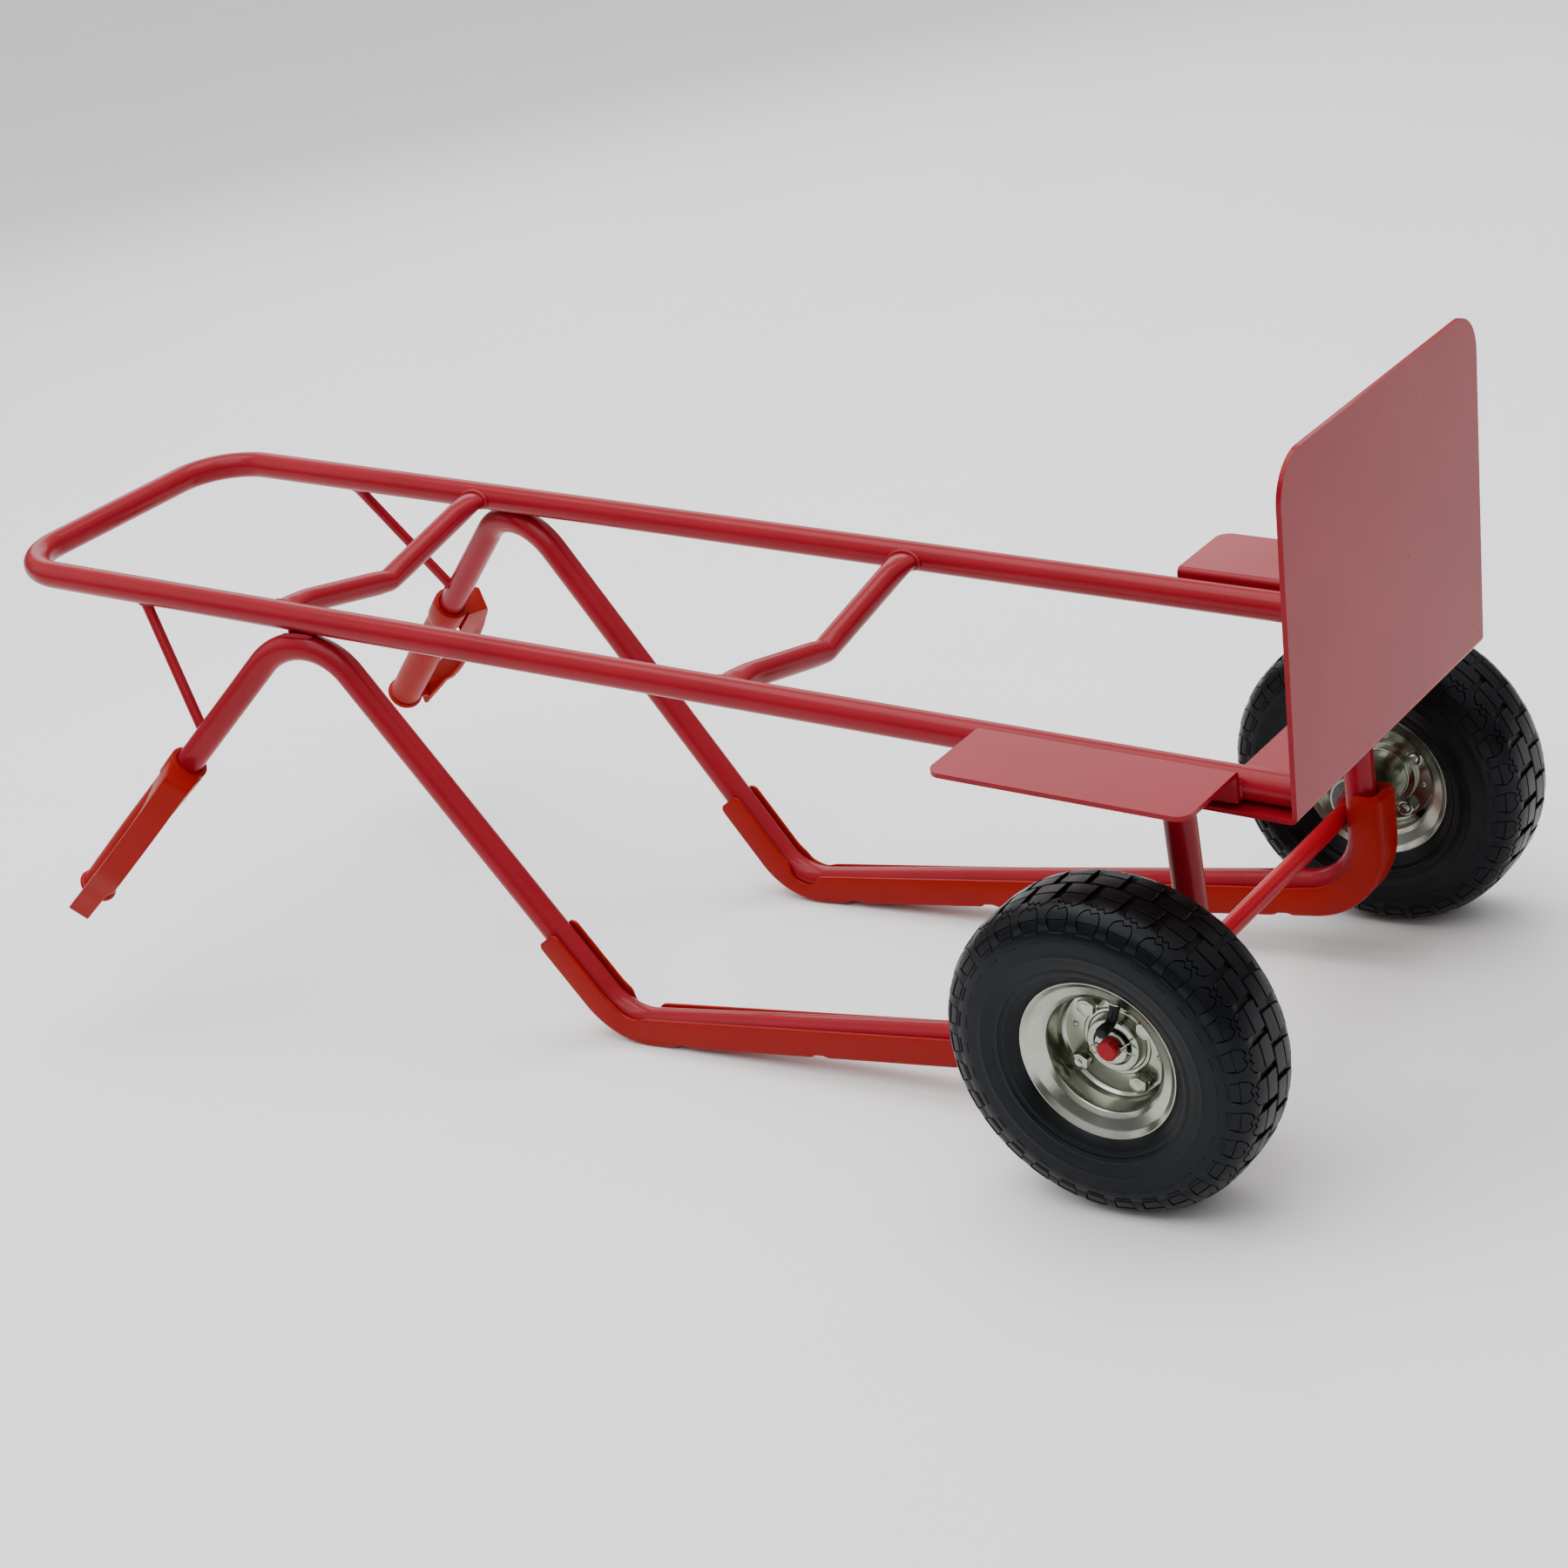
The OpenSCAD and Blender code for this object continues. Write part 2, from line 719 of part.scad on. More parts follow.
// Inner races: fixed on the axle, one end of each against the washer or the stop collar
module bearing_inner_races(side) {
    outboard = bearing_starts[0];
    color(bright_steel) at_wheel(side) {
        translate([0, 0, outboard]) inner_race(inner_race_out - outboard, bearing_w / 2);
        translate([0, 0, hub_in - 1]) inner_race(bearing_w + 1, bearing_w / 2 + 1);
    }
}

module inner_race(length, groove_z) {
    difference() {
        cylinder(r = inner_race_r, h = length);
        translate([0, 0, -cut]) cylinder(r = axle_r, h = length + 2 * cut);
        translate([0, 0, groove_z]) ball_groove(0.15);
    }
}

module hexagon(across, h) {
    cylinder(r = across / 2 / cos(30), h = h, $fn = 6);
}

// Rim bolts: heads outboard, threads inboard
module rim_bolts(side) {
    head_z = split_z + disc_steel + thin_nut_h;
    end_z = split_z - disc_steel - nut_h - stud_out;
    color(bright_steel) at_wheel(side) at_bolts() {
        translate([0, 0, head_z]) hexagon(hex_across, head_h);
        translate([0, 0, end_z]) cylinder(r = bolt_d / 2, h = head_z - end_z);
    }
}

// Rim nuts: a thin one under each bolt head and a full one inboard
module rim_nuts(side) {
    color(bright_steel) at_wheel(side) at_bolts() difference() {
        union() {
            translate([0, 0, split_z + disc_steel]) hexagon(hex_across, thin_nut_h);
            translate([0, 0, split_z - disc_steel - nut_h]) hexagon(hex_across, nut_h);
        }
        cylinder(r = bolt_d / 2 + 0.1, h = 60, center = true);
    }
}

// Valve stem: through the barrel towards the hub, then an elbow that points outboard
module valve_stem(side) {
    color(black_rubber) at_wheel(side) rotate([0, 0, -valve_angle])
        bent_bar(valve_path, [0, valve_bend_r, 0], valve_r);
}

module valve_cap(side) {
    cap_r = 4.8;
    cap_h = 9;
    color(black_rubber) at_wheel(side) rotate([0, 0, -valve_angle])
        translate([valve_reach_r, 0, valve_tip_z]) cylinder(r = cap_r, h = cap_h);
}

module axle_washer(side) {
    color(bright_steel) at_wheel(side) translate([0, 0, inner_race_out]) difference() {
        cylinder(r = washer_r, h = washer_w);
        translate([0, 0, -cut]) cylinder(r = axle_r, h = washer_w + 2 * cut);
    }
}

// Stop collar: a ring on the axle that the inboard bearing bears against
module stop_collar(side) {
    color(paint) at_wheel(side) translate([0, 0, hub_in - 1 - collar_w]) difference() {
        cylinder(r = collar_r, h = collar_w);
        translate([0, 0, -cut]) cylinder(r = axle_r, h = collar_w + 2 * cut);
    }
}

// Split pin: an eye on one side of the axle and two spread legs on the other
module split_pin(side) {
    eye_r = 3;
    straight = axle_r + 2;
    leg = 11;
    spread = 24;
    color(bright_steel) at_wheel(side) translate([0, 0, pin_z]) rotate([0, 0, -pin_angle]) {
        rotate([0, 90, 0]) cylinder(r = pin_wire_r, h = 2 * straight, center = true);
        translate([-straight - eye_r, 0, 0])
            rotate_extrude() translate([eye_r, 0]) circle(r = pin_wire_r - 0.3);
        for (turned = [-spread, spread]) {
            translate([straight, 0, 0]) rotate([0, 0, turned]) rotate([0, 90, 0])
                cylinder(r = pin_wire_r - 0.3, h = leg);
        }
    }
}

main_frame_tube();
upper_cross_bar();
lower_cross_bar();
toe_plate();
axle();
side_tube(left);  // left_side_tube
side_tube(right);  // right_side_tube
handle_strut(left);  // left_handle_strut
handle_strut(right);  // right_handle_strut
wheel_guard(left);  // left_wheel_guard
wheel_guard(right);  // right_wheel_guard
hand_grip(left);  // left_hand_grip
hand_grip(right);  // right_hand_grip
skid_cover(left);  // left_skid_cover
skid_cover(right);  // right_skid_cover
tyre(left);  // left_tyre
tyre(right);  // right_tyre
inner_tube(left);  // left_inner_tube
inner_tube(right);  // right_inner_tube
outer_rim(left);  // left_outer_rim
outer_rim(right);  // right_outer_rim
inner_rim(left);  // left_inner_rim
inner_rim(right);  // right_inner_rim
hub_barrel(left);  // left_hub_barrel
hub_barrel(right);  // right_hub_barrel
bearing_outer_races(left);  // left_bearing_outer_races
bearing_outer_races(right);  // right_bearing_outer_races
bearing_balls(left);  // left_bearing_balls
bearing_balls(right);  // right_bearing_balls
bearing_shields(left);  // left_bearing_shields
bearing_shields(right);  // right_bearing_shields
bearing_inner_races(left);  // left_bearing_inner_races
bearing_inner_races(right);  // right_bearing_inner_races
rim_bolts(left);  // left_rim_bolts
rim_bolts(right);  // right_rim_bolts
rim_nuts(left);  // left_rim_nuts
rim_nuts(right);  // right_rim_nuts
valve_stem(left);  // left_valve_stem
valve_stem(right);  // right_valve_stem
valve_cap(left);  // left_valve_cap
valve_cap(right);  // right_valve_cap
axle_washer(left);  // left_axle_washer
axle_washer(right);  // right_axle_washer
stop_collar(left);  // left_stop_collar
stop_collar(right);  // right_stop_collar
split_pin(left);  // left_split_pin
split_pin(right);  // right_split_pin
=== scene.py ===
"""Looks of a tubular steel hand truck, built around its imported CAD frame.

Shapes are written in millimetres in the plane of the rails, as the CAD is: X runs towards the
toe plate (its ground face is X = 0), Y is across with the left side positive, Z is square to
the rails. RAIL turns that frame into the resting pose, in metres.
"""
import json
import random
from bisect import bisect
from math import atan2, ceil, copysign, cos, degrees, exp, hypot, inf, pi, radians, sin, sqrt, tan

import bmesh
import bpy
from mathutils import Matrix, Vector


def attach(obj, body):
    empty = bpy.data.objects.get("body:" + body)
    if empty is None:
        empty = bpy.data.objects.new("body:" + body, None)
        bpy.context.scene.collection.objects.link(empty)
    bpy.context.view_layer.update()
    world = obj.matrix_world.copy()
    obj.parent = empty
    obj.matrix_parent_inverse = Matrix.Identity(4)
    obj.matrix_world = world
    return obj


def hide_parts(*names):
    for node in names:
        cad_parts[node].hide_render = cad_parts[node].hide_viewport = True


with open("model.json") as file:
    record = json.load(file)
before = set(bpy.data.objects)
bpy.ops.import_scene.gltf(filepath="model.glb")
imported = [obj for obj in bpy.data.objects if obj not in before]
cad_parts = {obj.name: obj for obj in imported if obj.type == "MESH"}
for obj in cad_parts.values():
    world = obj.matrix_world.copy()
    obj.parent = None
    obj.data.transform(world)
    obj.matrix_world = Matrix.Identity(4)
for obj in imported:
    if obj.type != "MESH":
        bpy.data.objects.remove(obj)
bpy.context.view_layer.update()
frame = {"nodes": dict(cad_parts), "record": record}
record = frame["record"]

# ---------------------------------------------------------------- places taken from the frame
MM = 0.001
ground_face = next(m for m in record["mounts"] if m["name"] == "toe_plate_ground_face")
toe_normal = Vector(ground_face["axis"]).normalized()
TILT = atan2(-toe_normal.z, toe_normal.x)
MOUNT_HEIGHT = 100
RAIL = (
    Matrix.Translation(Vector(ground_face["pos_m"]))
    @ Matrix.Rotation(TILT, 4, "Y")
    @ Matrix.Scale(MM, 4)
    @ Matrix.Translation((0, 0, -MOUNT_HEIGHT))
)
MIRROR = Matrix.Diagonal((1, -1, 1, 1))
AHEAD, ACROSS, UP = Vector((1, 0, 0)), Vector((0, 1, 0)), Vector((0, 0, 1))
ON_RAIL = {"left": RAIL, "right": RAIL @ MIRROR}

wheel_joint = next(j for j in record["behaviour"]["joints"] if j["name"] == "left_wheel_spin")
AXLE = RAIL.inverted() @ Vector(wheel_joint["pos_m"])
WHEEL_Y = AXLE.y
# Wheel frame: +Z outboard along the axle, +X forward
WHEEL = Matrix.Translation(AXLE) @ Matrix(((1, 0, 0, 0), (0, 0, 1, 0), (0, -1, 0, 0), (0, 0, 0, 1)))
ON_WHEEL = {side: rail @ WHEEL for side, rail in ON_RAIL.items()}

# ---------------------------------------------------------------- driving sizes, as in the CAD
TUBE_R = 12.5
RAIL_Y = 145
FRAME_LENGTH = 1331
CORNER_R = 60
CROSS_BAR_R = 11
CROSS_BARS = {"upper_cross_bar": 992, "lower_cross_bar": 512}
CROSS_BAR_DIP = 28
SHEET = 4
TOE_HALF_WIDTH = 165
TOE_HEIGHT = 257.6
TOE_FLANGE = 75
TOE_CORNER_R = 34
GUARD_AT = 48
GUARD_LENGTH = 214
GUARD_REACH = 238
GUARD_TOP = 16
AXLE_R = 8
AXLE_LENGTH = 509
HANDLE_LENGTH = 392
GRIP_LENGTH = 188
GRIP_R = 15.5
SIDE_LEAN = 0.03


def side_point(x, z):
    """A point of the left side tube: the tube leans slightly inwards as it goes down."""
    return Vector((x, RAIL_Y + 2.5 + SIDE_LEAN * z, z))


APEX = side_point(-959, 7)
HEEL = side_point(-669, -345)
SKID_TOE = side_point(-95.5, -236)
UPRIGHT_TOP = side_point(-106, 0)
slope, splay = radians(47.6), radians(11.3)
HANDLE_DIR = Vector((-cos(slope) * cos(splay), sin(splay), -sin(slope) * cos(splay)))
HANDLE_END = APEX + HANDLE_LENGTH * HANDLE_DIR
SIDE_PATH = [HANDLE_END, APEX, HEEL, SKID_TOE, UPRIGHT_TOP]
SIDE_BENDS = [0, 60.5, 55, 55, 0]

# ---------------------------------------------------------------- camera, floor and lights
CAMERA_AT = Vector((1.6486, -1.9378, 1.2352))
CAMERA_AZIMUTH = 39.089
CAMERA_ELEVATION = 22.771
CAMERA_ROLL = -11.858
CAMERA_LENS = 72.21


def make_camera():
    camera = bpy.data.objects.new("camera", bpy.data.cameras.new("camera"))
    bpy.context.scene.collection.objects.link(camera)
    camera.data.lens = CAMERA_LENS
    camera.data.sensor_width = 36
    camera.matrix_world = (
        Matrix.Translation(CAMERA_AT)
        @ Matrix.Rotation(radians(CAMERA_AZIMUTH), 4, "Z")
        @ Matrix.Rotation(radians(90 - CAMERA_ELEVATION), 4, "X")
        @ Matrix.Rotation(radians(CAMERA_ROLL), 4, "Z")
    )
    bpy.context.scene.camera = camera


def soft_light(name, size, power, place, target):
    light = bpy.data.lights.new(name, "AREA")
    light.shape = "RECTANGLE"
    light.size, light.size_y = size
    light.energy = power
    lamp = bpy.data.objects.new(name, light)
    bpy.context.scene.collection.objects.link(lamp)
    aim = Vector(target) - Vector(place)
    lamp.matrix_world = Matrix.Translation(place) @ aim.to_track_quat("-Z", "Y").to_matrix().to_4x4()


def make_studio():
    world = bpy.data.worlds.new("studio")
    bpy.context.scene.world = world
    world.use_nodes = True
    tree = world.node_tree
    sky = tree.nodes["Background"]
    coords, split = tree.nodes.new("ShaderNodeTexCoord"), tree.nodes.new("ShaderNodeSeparateXYZ")
    tree.links.new(coords.outputs["Generated"], split.inputs["Vector"])
    # Dim walls and a bright ceiling, as in a tent lit from above
    glow = ramp(tree, split.outputs["Z"], [(0.0, 0.20), (0.22, 0.20), (0.50, 0.90), (1.0, 1.40)])
    tree.links.new(glow, sky.inputs["Color"])
    sky.inputs["Strength"].default_value = 0.9
    soft_light("key_light", (3.2, 2.2), 58, (0.4, -2.2, 3.9), (0, 0, 0.2))
    soft_light("top_light", (3.6, 2.4), 105, (-0.3, 0.4, 3.4), (0, 0, 0.3))
    soft_light("back_light", (3.4, 1.6), 38, (-2.4, 2.8, 1.9), (0, 0, 0.3))
    soft_light("fill_light", (2.4, 2.4), 16, (-3.4, -1.6, 2.2), (0, 0, 0.3))
    half = 60
    corners = [(-half, -half, 0), (half, -half, 0), (half, half, 0), (-half, half, 0)]
    floor = Shape().add(corners, [(0, 1, 2, 3)])
    solid_from("studio_floor", floor, Matrix.Identity(4), floor_material())


# ---------------------------------------------------------------- materials
def new_material(name):
    material = bpy.data.materials.new(name)
    material.use_nodes = True
    nodes = material.node_tree.nodes
    return material, material.node_tree, nodes["Principled BSDF"]


def noise(tree, scale, detail=4, roughness=0.5, stretch=None):
    """Noise in object space, in periods per metre; stretch scales its three axes."""
    texture = tree.nodes.new("ShaderNodeTexNoise")
    texture.inputs["Scale"].default_value = scale
    texture.inputs["Detail"].default_value = detail
    texture.inputs["Roughness"].default_value = roughness
    vector = tree.nodes.new("ShaderNodeTexCoord").outputs["Object"]
    if stretch:
        mapping = tree.nodes.new("ShaderNodeMapping")
        mapping.inputs["Scale"].default_value = stretch
        tree.links.new(vector, mapping.inputs["Vector"])
        vector = mapping.outputs["Vector"]
    tree.links.new(vector, texture.inputs["Vector"])
    return texture.outputs["Fac"]


def ramp(tree, factor, stops):
    """Colour ramp; stops are (position, colour or grey)."""
    node = tree.nodes.new("ShaderNodeValToRGB")
    elements = node.color_ramp.elements
    while len(elements) < len(stops):
        elements.new(0.5)
    for element, (position, colour) in zip(elements, stops):
        element.position = position
        grey = isinstance(colour, (int, float))
        element.color = (colour, colour, colour, 1) if grey else (*colour, 1)
    tree.links.new(factor, node.inputs["Fac"])
    return node.outputs["Color"]


def vary(tree, shader, socket, pattern, *stops):
    """Drives one of the shader's sockets by a ramp over a pattern."""
    tree.links.new(ramp(tree, pattern, stops), shader.inputs[socket])


def speckled(tree, colour, specks, pattern, low, high, most):
    """Lays specks of a plain colour over a colour output: none where the pattern is low, most where
    it is high."""
    node = tree.nodes.new("ShaderNodeMix")
    node.data_type = "RGBA"
    sockets = {socket.identifier: socket for socket in (*node.inputs, *node.outputs)}
    tree.links.new(ramp(tree, pattern, [(low, 0.0), (high, most)]), sockets["Factor_Float"])
    tree.links.new(colour, sockets["A_Color"])
    sockets["B_Color"].default_value = (*specks, 1)
    return sockets["Result_Color"]


def bumped(tree, shader, height, strength, distance, below=None):
    """Adds a bump to the shader's normal; below is an earlier bump to stack on."""
    node = tree.nodes.new("ShaderNodeBump")
    node.inputs["Strength"].default_value = strength
    node.inputs["Distance"].default_value = distance
    tree.links.new(height, node.inputs["Height"])
    if below:
        tree.links.new(below, node.inputs["Normal"])
    tree.links.new(node.outputs["Normal"], shader.inputs["Normal"])
    return node.outputs["Normal"]


def paint_material(name, deep, bright, coat):
    """Gloss red enamel, sprayed: slight orange peel and a clear top skin."""
    material, tree, shader = new_material(name)
    vary(tree, shader, "Base Color", noise(tree, 9, 5), (0.3, deep), (0.7, bright))
    vary(tree, shader, "Roughness", noise(tree, 12, 3), (0.35, 0.27), (0.70, 0.31))
    shader.inputs["Specular IOR Level"].default_value = 0.09
    shader.inputs["Coat Weight"].default_value = coat
    shader.inputs["Coat Roughness"].default_value = 0.07
    peel = bumped(tree, shader, noise(tree, 420, 2), 0.05, 0.0002)
    bumped(tree, shader, noise(tree, 30, 2), 0.02, 0.0006, below=peel)
    return material


def plastic_material():
    """Moulded orange-red polypropylene: satin, with fine spark-eroded grain and flow marks."""
    material, tree, shader = new_material("red_plastic")
    flow = noise(tree, 14, 4, stretch=(0.5, 2.0, 2.0))
    colour = ramp(tree, flow, [(0.25, (0.235, 0.0028, 0.0014)), (0.75, (0.285, 0.0045, 0.0022))])
    scuffed = speckled(tree, colour, (0.40, 0.02, 0.012), noise(tree, 120, 6, 0.7), 0.62, 0.88, 0.3)
    tree.links.new(scuffed, shader.inputs["Base Color"])
    vary(tree, shader, "Roughness", noise(tree, 70, 4), (0.3, 0.36), (0.7, 0.45))
    shader.inputs["Specular IOR Level"].default_value = 0.12
    shader.inputs["Subsurface Weight"].default_value = 0.05
    shader.inputs["Subsurface Radius"].default_value = (0.004, 0.001, 0.0005)
    bumped(tree, shader, noise(tree, 1500, 2), 0.08, 0.0002)
    return material


def zinc_material():
    """Zinc plate with a faint yellow-green passivation and pressing marks."""
    material, tree, shader = new_material("zinc_plate")
    vary(tree, shader, "Base Color", noise(tree, 22, 5, 0.6), (0.30, (0.27, 0.283, 0.222)),
         (0.55, (0.375, 0.39, 0.335)), (0.75, (0.32, 0.345, 0.335)))
    vary(tree, shader, "Roughness", noise(tree, 40, 4, 0.6), (0.3, 0.15), (0.75, 0.25))
    shader.inputs["Metallic"].default_value = 1
    grain = bumped(tree, shader, noise(tree, 700, 3), 0.06, 0.0002)
    bumped(tree, shader, noise(tree, 45, 2), 0.04, 0.0006, below=grain)
    return material


def steel_material():
    """Bearing steel under a film of grease."""
    material, tree, shader = new_material("greased_steel")
    vary(tree, shader, "Base Color", noise(tree, 60, 4), (0.3, (0.06, 0.058, 0.055)), (0.7, 0.13))
    vary(tree, shader, "Roughness", noise(tree, 300, 4), (0.3, 0.25), (0.7, 0.38))
    shader.inputs["Metallic"].default_value = 1
    bumped(tree, shader, noise(tree, 1200, 2), 0.06, 0.0001)
    return material


def rubber_material(name, dark, light, rough_low, rough_high):
    """Black moulded rubber with a soft bloom and a fine skin."""
    material, tree, shader = new_material(name)
    colour = ramp(tree, noise(tree, 26, 6, 0.6), [(0.3, dark), (0.75, light)])
    dusty = speckled(tree, colour, (0.009, 0.0093, 0.0105), noise(tree, 240, 5, 0.7), 0.62, 0.9, 0.5)
    tree.links.new(dusty, shader.inputs["Base Color"])
    vary(tree, shader, "Roughness", noise(tree, 48, 5), (0.3, rough_low), (0.7, rough_high))
    shader.inputs["Specular IOR Level"].default_value = 0.17
    shader.inputs["Specular Tint"].default_value = (0.86, 0.92, 1.0, 1)
    skin_bump = bumped(tree, shader, noise(tree, 1300, 3), 0.10, 0.0002)
    bumped(tree, shader, noise(tree, 110, 3), 0.08, 0.0006, below=skin_bump)
    return material


def floor_material():
    """Matt white sweep under the object."""
    material, tree, shader = new_material("studio_floor")
    vary(tree, shader, "Base Color", noise(tree, 3, 3), (0.3, 0.925), (0.7, 0.945))
    shader.inputs["Roughness"].default_value = 0.75
    return material


# ---------------------------------------------------------------- mesh helpers
def solid_from(name, shape, matrix, material):
    """Mesh object from a shape in the given frame; a mirroring frame turns the faces over."""
    faces = shape.faces
    if matrix.to_3x3().determinant() < 0:
        faces = [tuple(reversed(face)) for face in faces]
    mesh = bpy.data.meshes.new(name)
    mesh.from_pydata([matrix @ Vector(v) for v in shape.verts], [], faces)
    mesh.update()
    mesh.materials.append(material)
    mesh.shade_smooth()
    piece = bpy.data.objects.new(name, mesh)
    bpy.context.scene.collection.objects.link(piece)
    return piece


class Shape:
    """Points and faces being gathered for one piece."""

    def __init__(self):
        self.verts, self.faces = [], []

    def add(self, verts, faces, matrix=None):
        start = len(self.verts)
        self.verts += [Vector(v) if matrix is None else matrix @ Vector(v) for v in verts]
        self.faces += [tuple(start + i for i in face) for face in faces]
        return self

    def merge(self, other, matrix=None):
        return self.add(other.verts, other.faces, matrix)


def bevelled(piece, width):
    """Rounds the piece's edges by a width in millimetres and keeps its flats flat."""
    bevel = piece.modifiers.new("bevel", "BEVEL")
    bevel.width = width * MM
    bevel.segments = 3
    bevel.limit_method = "ANGLE"
    bevel.angle_limit = radians(50)
    bevel.use_clamp_overlap = True
    weighted = piece.modifiers.new("normals", "WEIGHTED_NORMAL")
    weighted.keep_sharp = True
    graph = bpy.context.evaluated_depsgraph_get()
    mesh = bpy.data.meshes.new_from_object(piece.evaluated_get(graph), depsgraph=graph)
    piece.modifiers.clear()
    piece.data = mesh
    return piece


def oriented(piece):
    """Makes all faces of a closed piece point outwards."""
    work = bmesh.new()
    work.from_mesh(piece.data)
    bmesh.ops.recalc_face_normals(work, faces=work.faces)
    work.to_mesh(piece.data)
    work.free()
    return piece


def placed(piece, body, slot, *nodes):
    """Rides on a body and stands for CAD nodes; its slot argument is not used."""
    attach(piece, body)
    if nodes:
        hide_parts(*nodes)
    return piece


def finished(name, shape, matrix, material, crease, body, slot, *nodes):
    """The usual piece: smooth, with hard edges above an angle of crease degrees."""
    piece = oriented(solid_from(name, shape, matrix, material))
    piece.data.set_sharp_from_angle(angle=radians(crease))
    placed(piece, body, slot, *nodes)


def smooth_step(share):
    share = min(1.0, max(0.0, share))
    return share * share * (3 - 2 * share)


def turns(count):
    """Angles in equal steps once round."""
    return [2 * pi * i / count for i in range(count)]


def polar(radius, angle, *height):
    """Point at a radius and an angle about Z, as a tuple."""
    return (radius * cos(angle), radius * sin(angle), *height)


def oval(wide, high, count):
    return [(wide * cos(angle), high * sin(angle)) for angle in turns(count)]


def ring(radius, count):
    return oval(radius, radius, count)


def arc(centre, radius, first, last, count):
    """Points of an arc, angles in degrees."""
    steps = [polar(radius, radians(first + (last - first) * i / count)) for i in range(count + 1)]
    return [(centre[0] + x, centre[1] + y) for x, y in steps]


def skin(rows, looped=False, round_rows=True):
    """Shape over equally long rows of points. A looped skin runs from its last row back to its
    first; otherwise both ends are capped."""
    count = len(rows[0])
    faces = []
    for i in range(len(rows) if looped else len(rows) - 1):
        a, b = i * count, (i + 1) % len(rows) * count
        for k in range(count if round_rows else count - 1):
            after = (k + 1) % count
            faces.append((a + k, a + after, b + after, b + k))
    if not looped:
        last = (len(rows) - 1) * count
        faces += [tuple(range(count)), tuple(range(last, last + count))]
    return Shape().add([point for row in rows for point in row], faces)


def lathe(profile, count=128, closed=True):
    """Turns an outline of (radius, z) about Z; an open one begins and ends near the axis."""
    rows = [[polar(r, angle, z) for r, z in profile] for angle in turns(count)]
    return skin(rows, True, closed)


def frames_along(path, side):
    """Tangent, side and normal at each point of a path, carried along without twist."""
    result = []
    for i, point in enumerate(path):
        ahead = path[min(i + 1, len(path) - 1)] - path[max(i - 1, 0)]
        tangent = ahead.normalized()
        side = (side - side.dot(tangent) * tangent).normalized()
        result.append((point, tangent, side, tangent.cross(side)))
    return result


def sweep(path, sections, side, looped=False):
    """Skins sections, lists of (side, normal) offsets, along a path."""
    frames = zip(frames_along(path, side), sections)
    return skin([[point + a * s + b * n for a, b in section] for (point, _, s, n), section in frames], looped)


def bent_path(points, radii, step=4.0, spacing=40.0):
    """Polyline with rounded corners: arcs in steps of some degrees, straights in long pieces."""
    path = [points[0].copy()]
    for i in range(1, len(points) - 1):
        before = (points[i] - points[i - 1]).normalized()
        after = (points[i + 1] - points[i]).normalized()
        turn = before.angle(after)
        trim = radii[i] * tan(turn / 2)
        start = points[i] - trim * before
        inward = (after - after.dot(before) * before).normalized()
        centre = start + radii[i] * inward
        extend_straight(path, start, spacing)
        pieces = max(2, ceil(degrees(turn) / step))
        for k in range(1, pieces + 1):
            a = turn * k / pieces
            path.append(centre - radii[i] * cos(a) * inward + radii[i] * sin(a) * before)
    extend_straight(path, points[-1], spacing)
    return path


def extend_straight(path, end, spacing):
    start = path[-1].copy()
    pieces = max(1, round((end - start).length / spacing))
    path += [start.lerp(end, k / pieces) for k in range(1, pieces + 1)]


def tube_shape(points, radii, radius, side, step):
    path = bent_path(points, radii, step)
    return sweep(path, [ring(radius, 48)] * len(path), side)


def weld_bead(path, width, seed, side, looped=False):
    """A laid weld: overlapping ripples of slightly uneven width along a path."""
    draw = random.Random(seed)
    spacing = 0.9
    fine = resampled(path, spacing, looped)
    ripple = draw.uniform(2.6, 3.2)
    drift = draw.uniform(0, 6)
    sections = []
    for i in range(len(fine)):
        along = i * spacing
        phase = along / ripple % 1
        swell = 0.84 + 0.20 * sin(pi * phase) + 0.07 * sin(along / 7 + drift)
        taper = 1.0
        if not looped:
            end = min(i, len(fine) - 1 - i) * spacing
            taper = sqrt(min(1.0, 0.15 + end / 4))
        sections.append(ring(width * swell * taper * draw.uniform(0.97, 1.03), 10))
    return sweep(fine, sections, side, looped)


def seam(start, run, width, seed, side):
    """A straight weld bead from a point along a run."""
    start = Vector(start)
    return weld_bead([start, start + Vector(run)], width, seed, side)


def distances(path):
    """How far along a polyline each of its points lies."""
    lengths = [0.0]
    for a, b in zip(path, path[1:]):
        lengths.append(lengths[-1] + (b - a).length)
    return lengths


def resampled(path, spacing, looped=False):
    """Even points along a polyline."""
    points = [*path, path[0]] if looped else path
    lengths = distances(points)
    count = max(4, round(lengths[-1] / spacing))
    result, k = [], 0
    for i in range(count if looped else count + 1):
        want = lengths[-1] * i / count
        while k < len(lengths) - 2 and lengths[k + 1] < want:
            k += 1
        share = (want - lengths[k]) / max(1e-9, lengths[k + 1] - lengths[k])
        result.append(points[k].lerp(points[k + 1], share))
    return result


def catmull_rom(points, pieces):
    """Smooth line through points, with the same number of pieces in every span."""
    padded = [2 * points[0] - points[1], *points, 2 * points[-1] - points[-2]]
    result = []
    for i in range(1, len(padded) - 2):
        p0, p1, p2, p3 = padded[i - 1:i + 3]
        for t in [k / pieces for k in range(pieces)]:
            result.append(0.5 * (2 * p1 + (p2 - p0) * t + (2 * p0 - 5 * p1 + 4 * p2 - p3) * t * t
                                 + (3 * p1 - p0 - 3 * p2 + p3) * t ** 3))
    return [*result, points[-1].copy()]


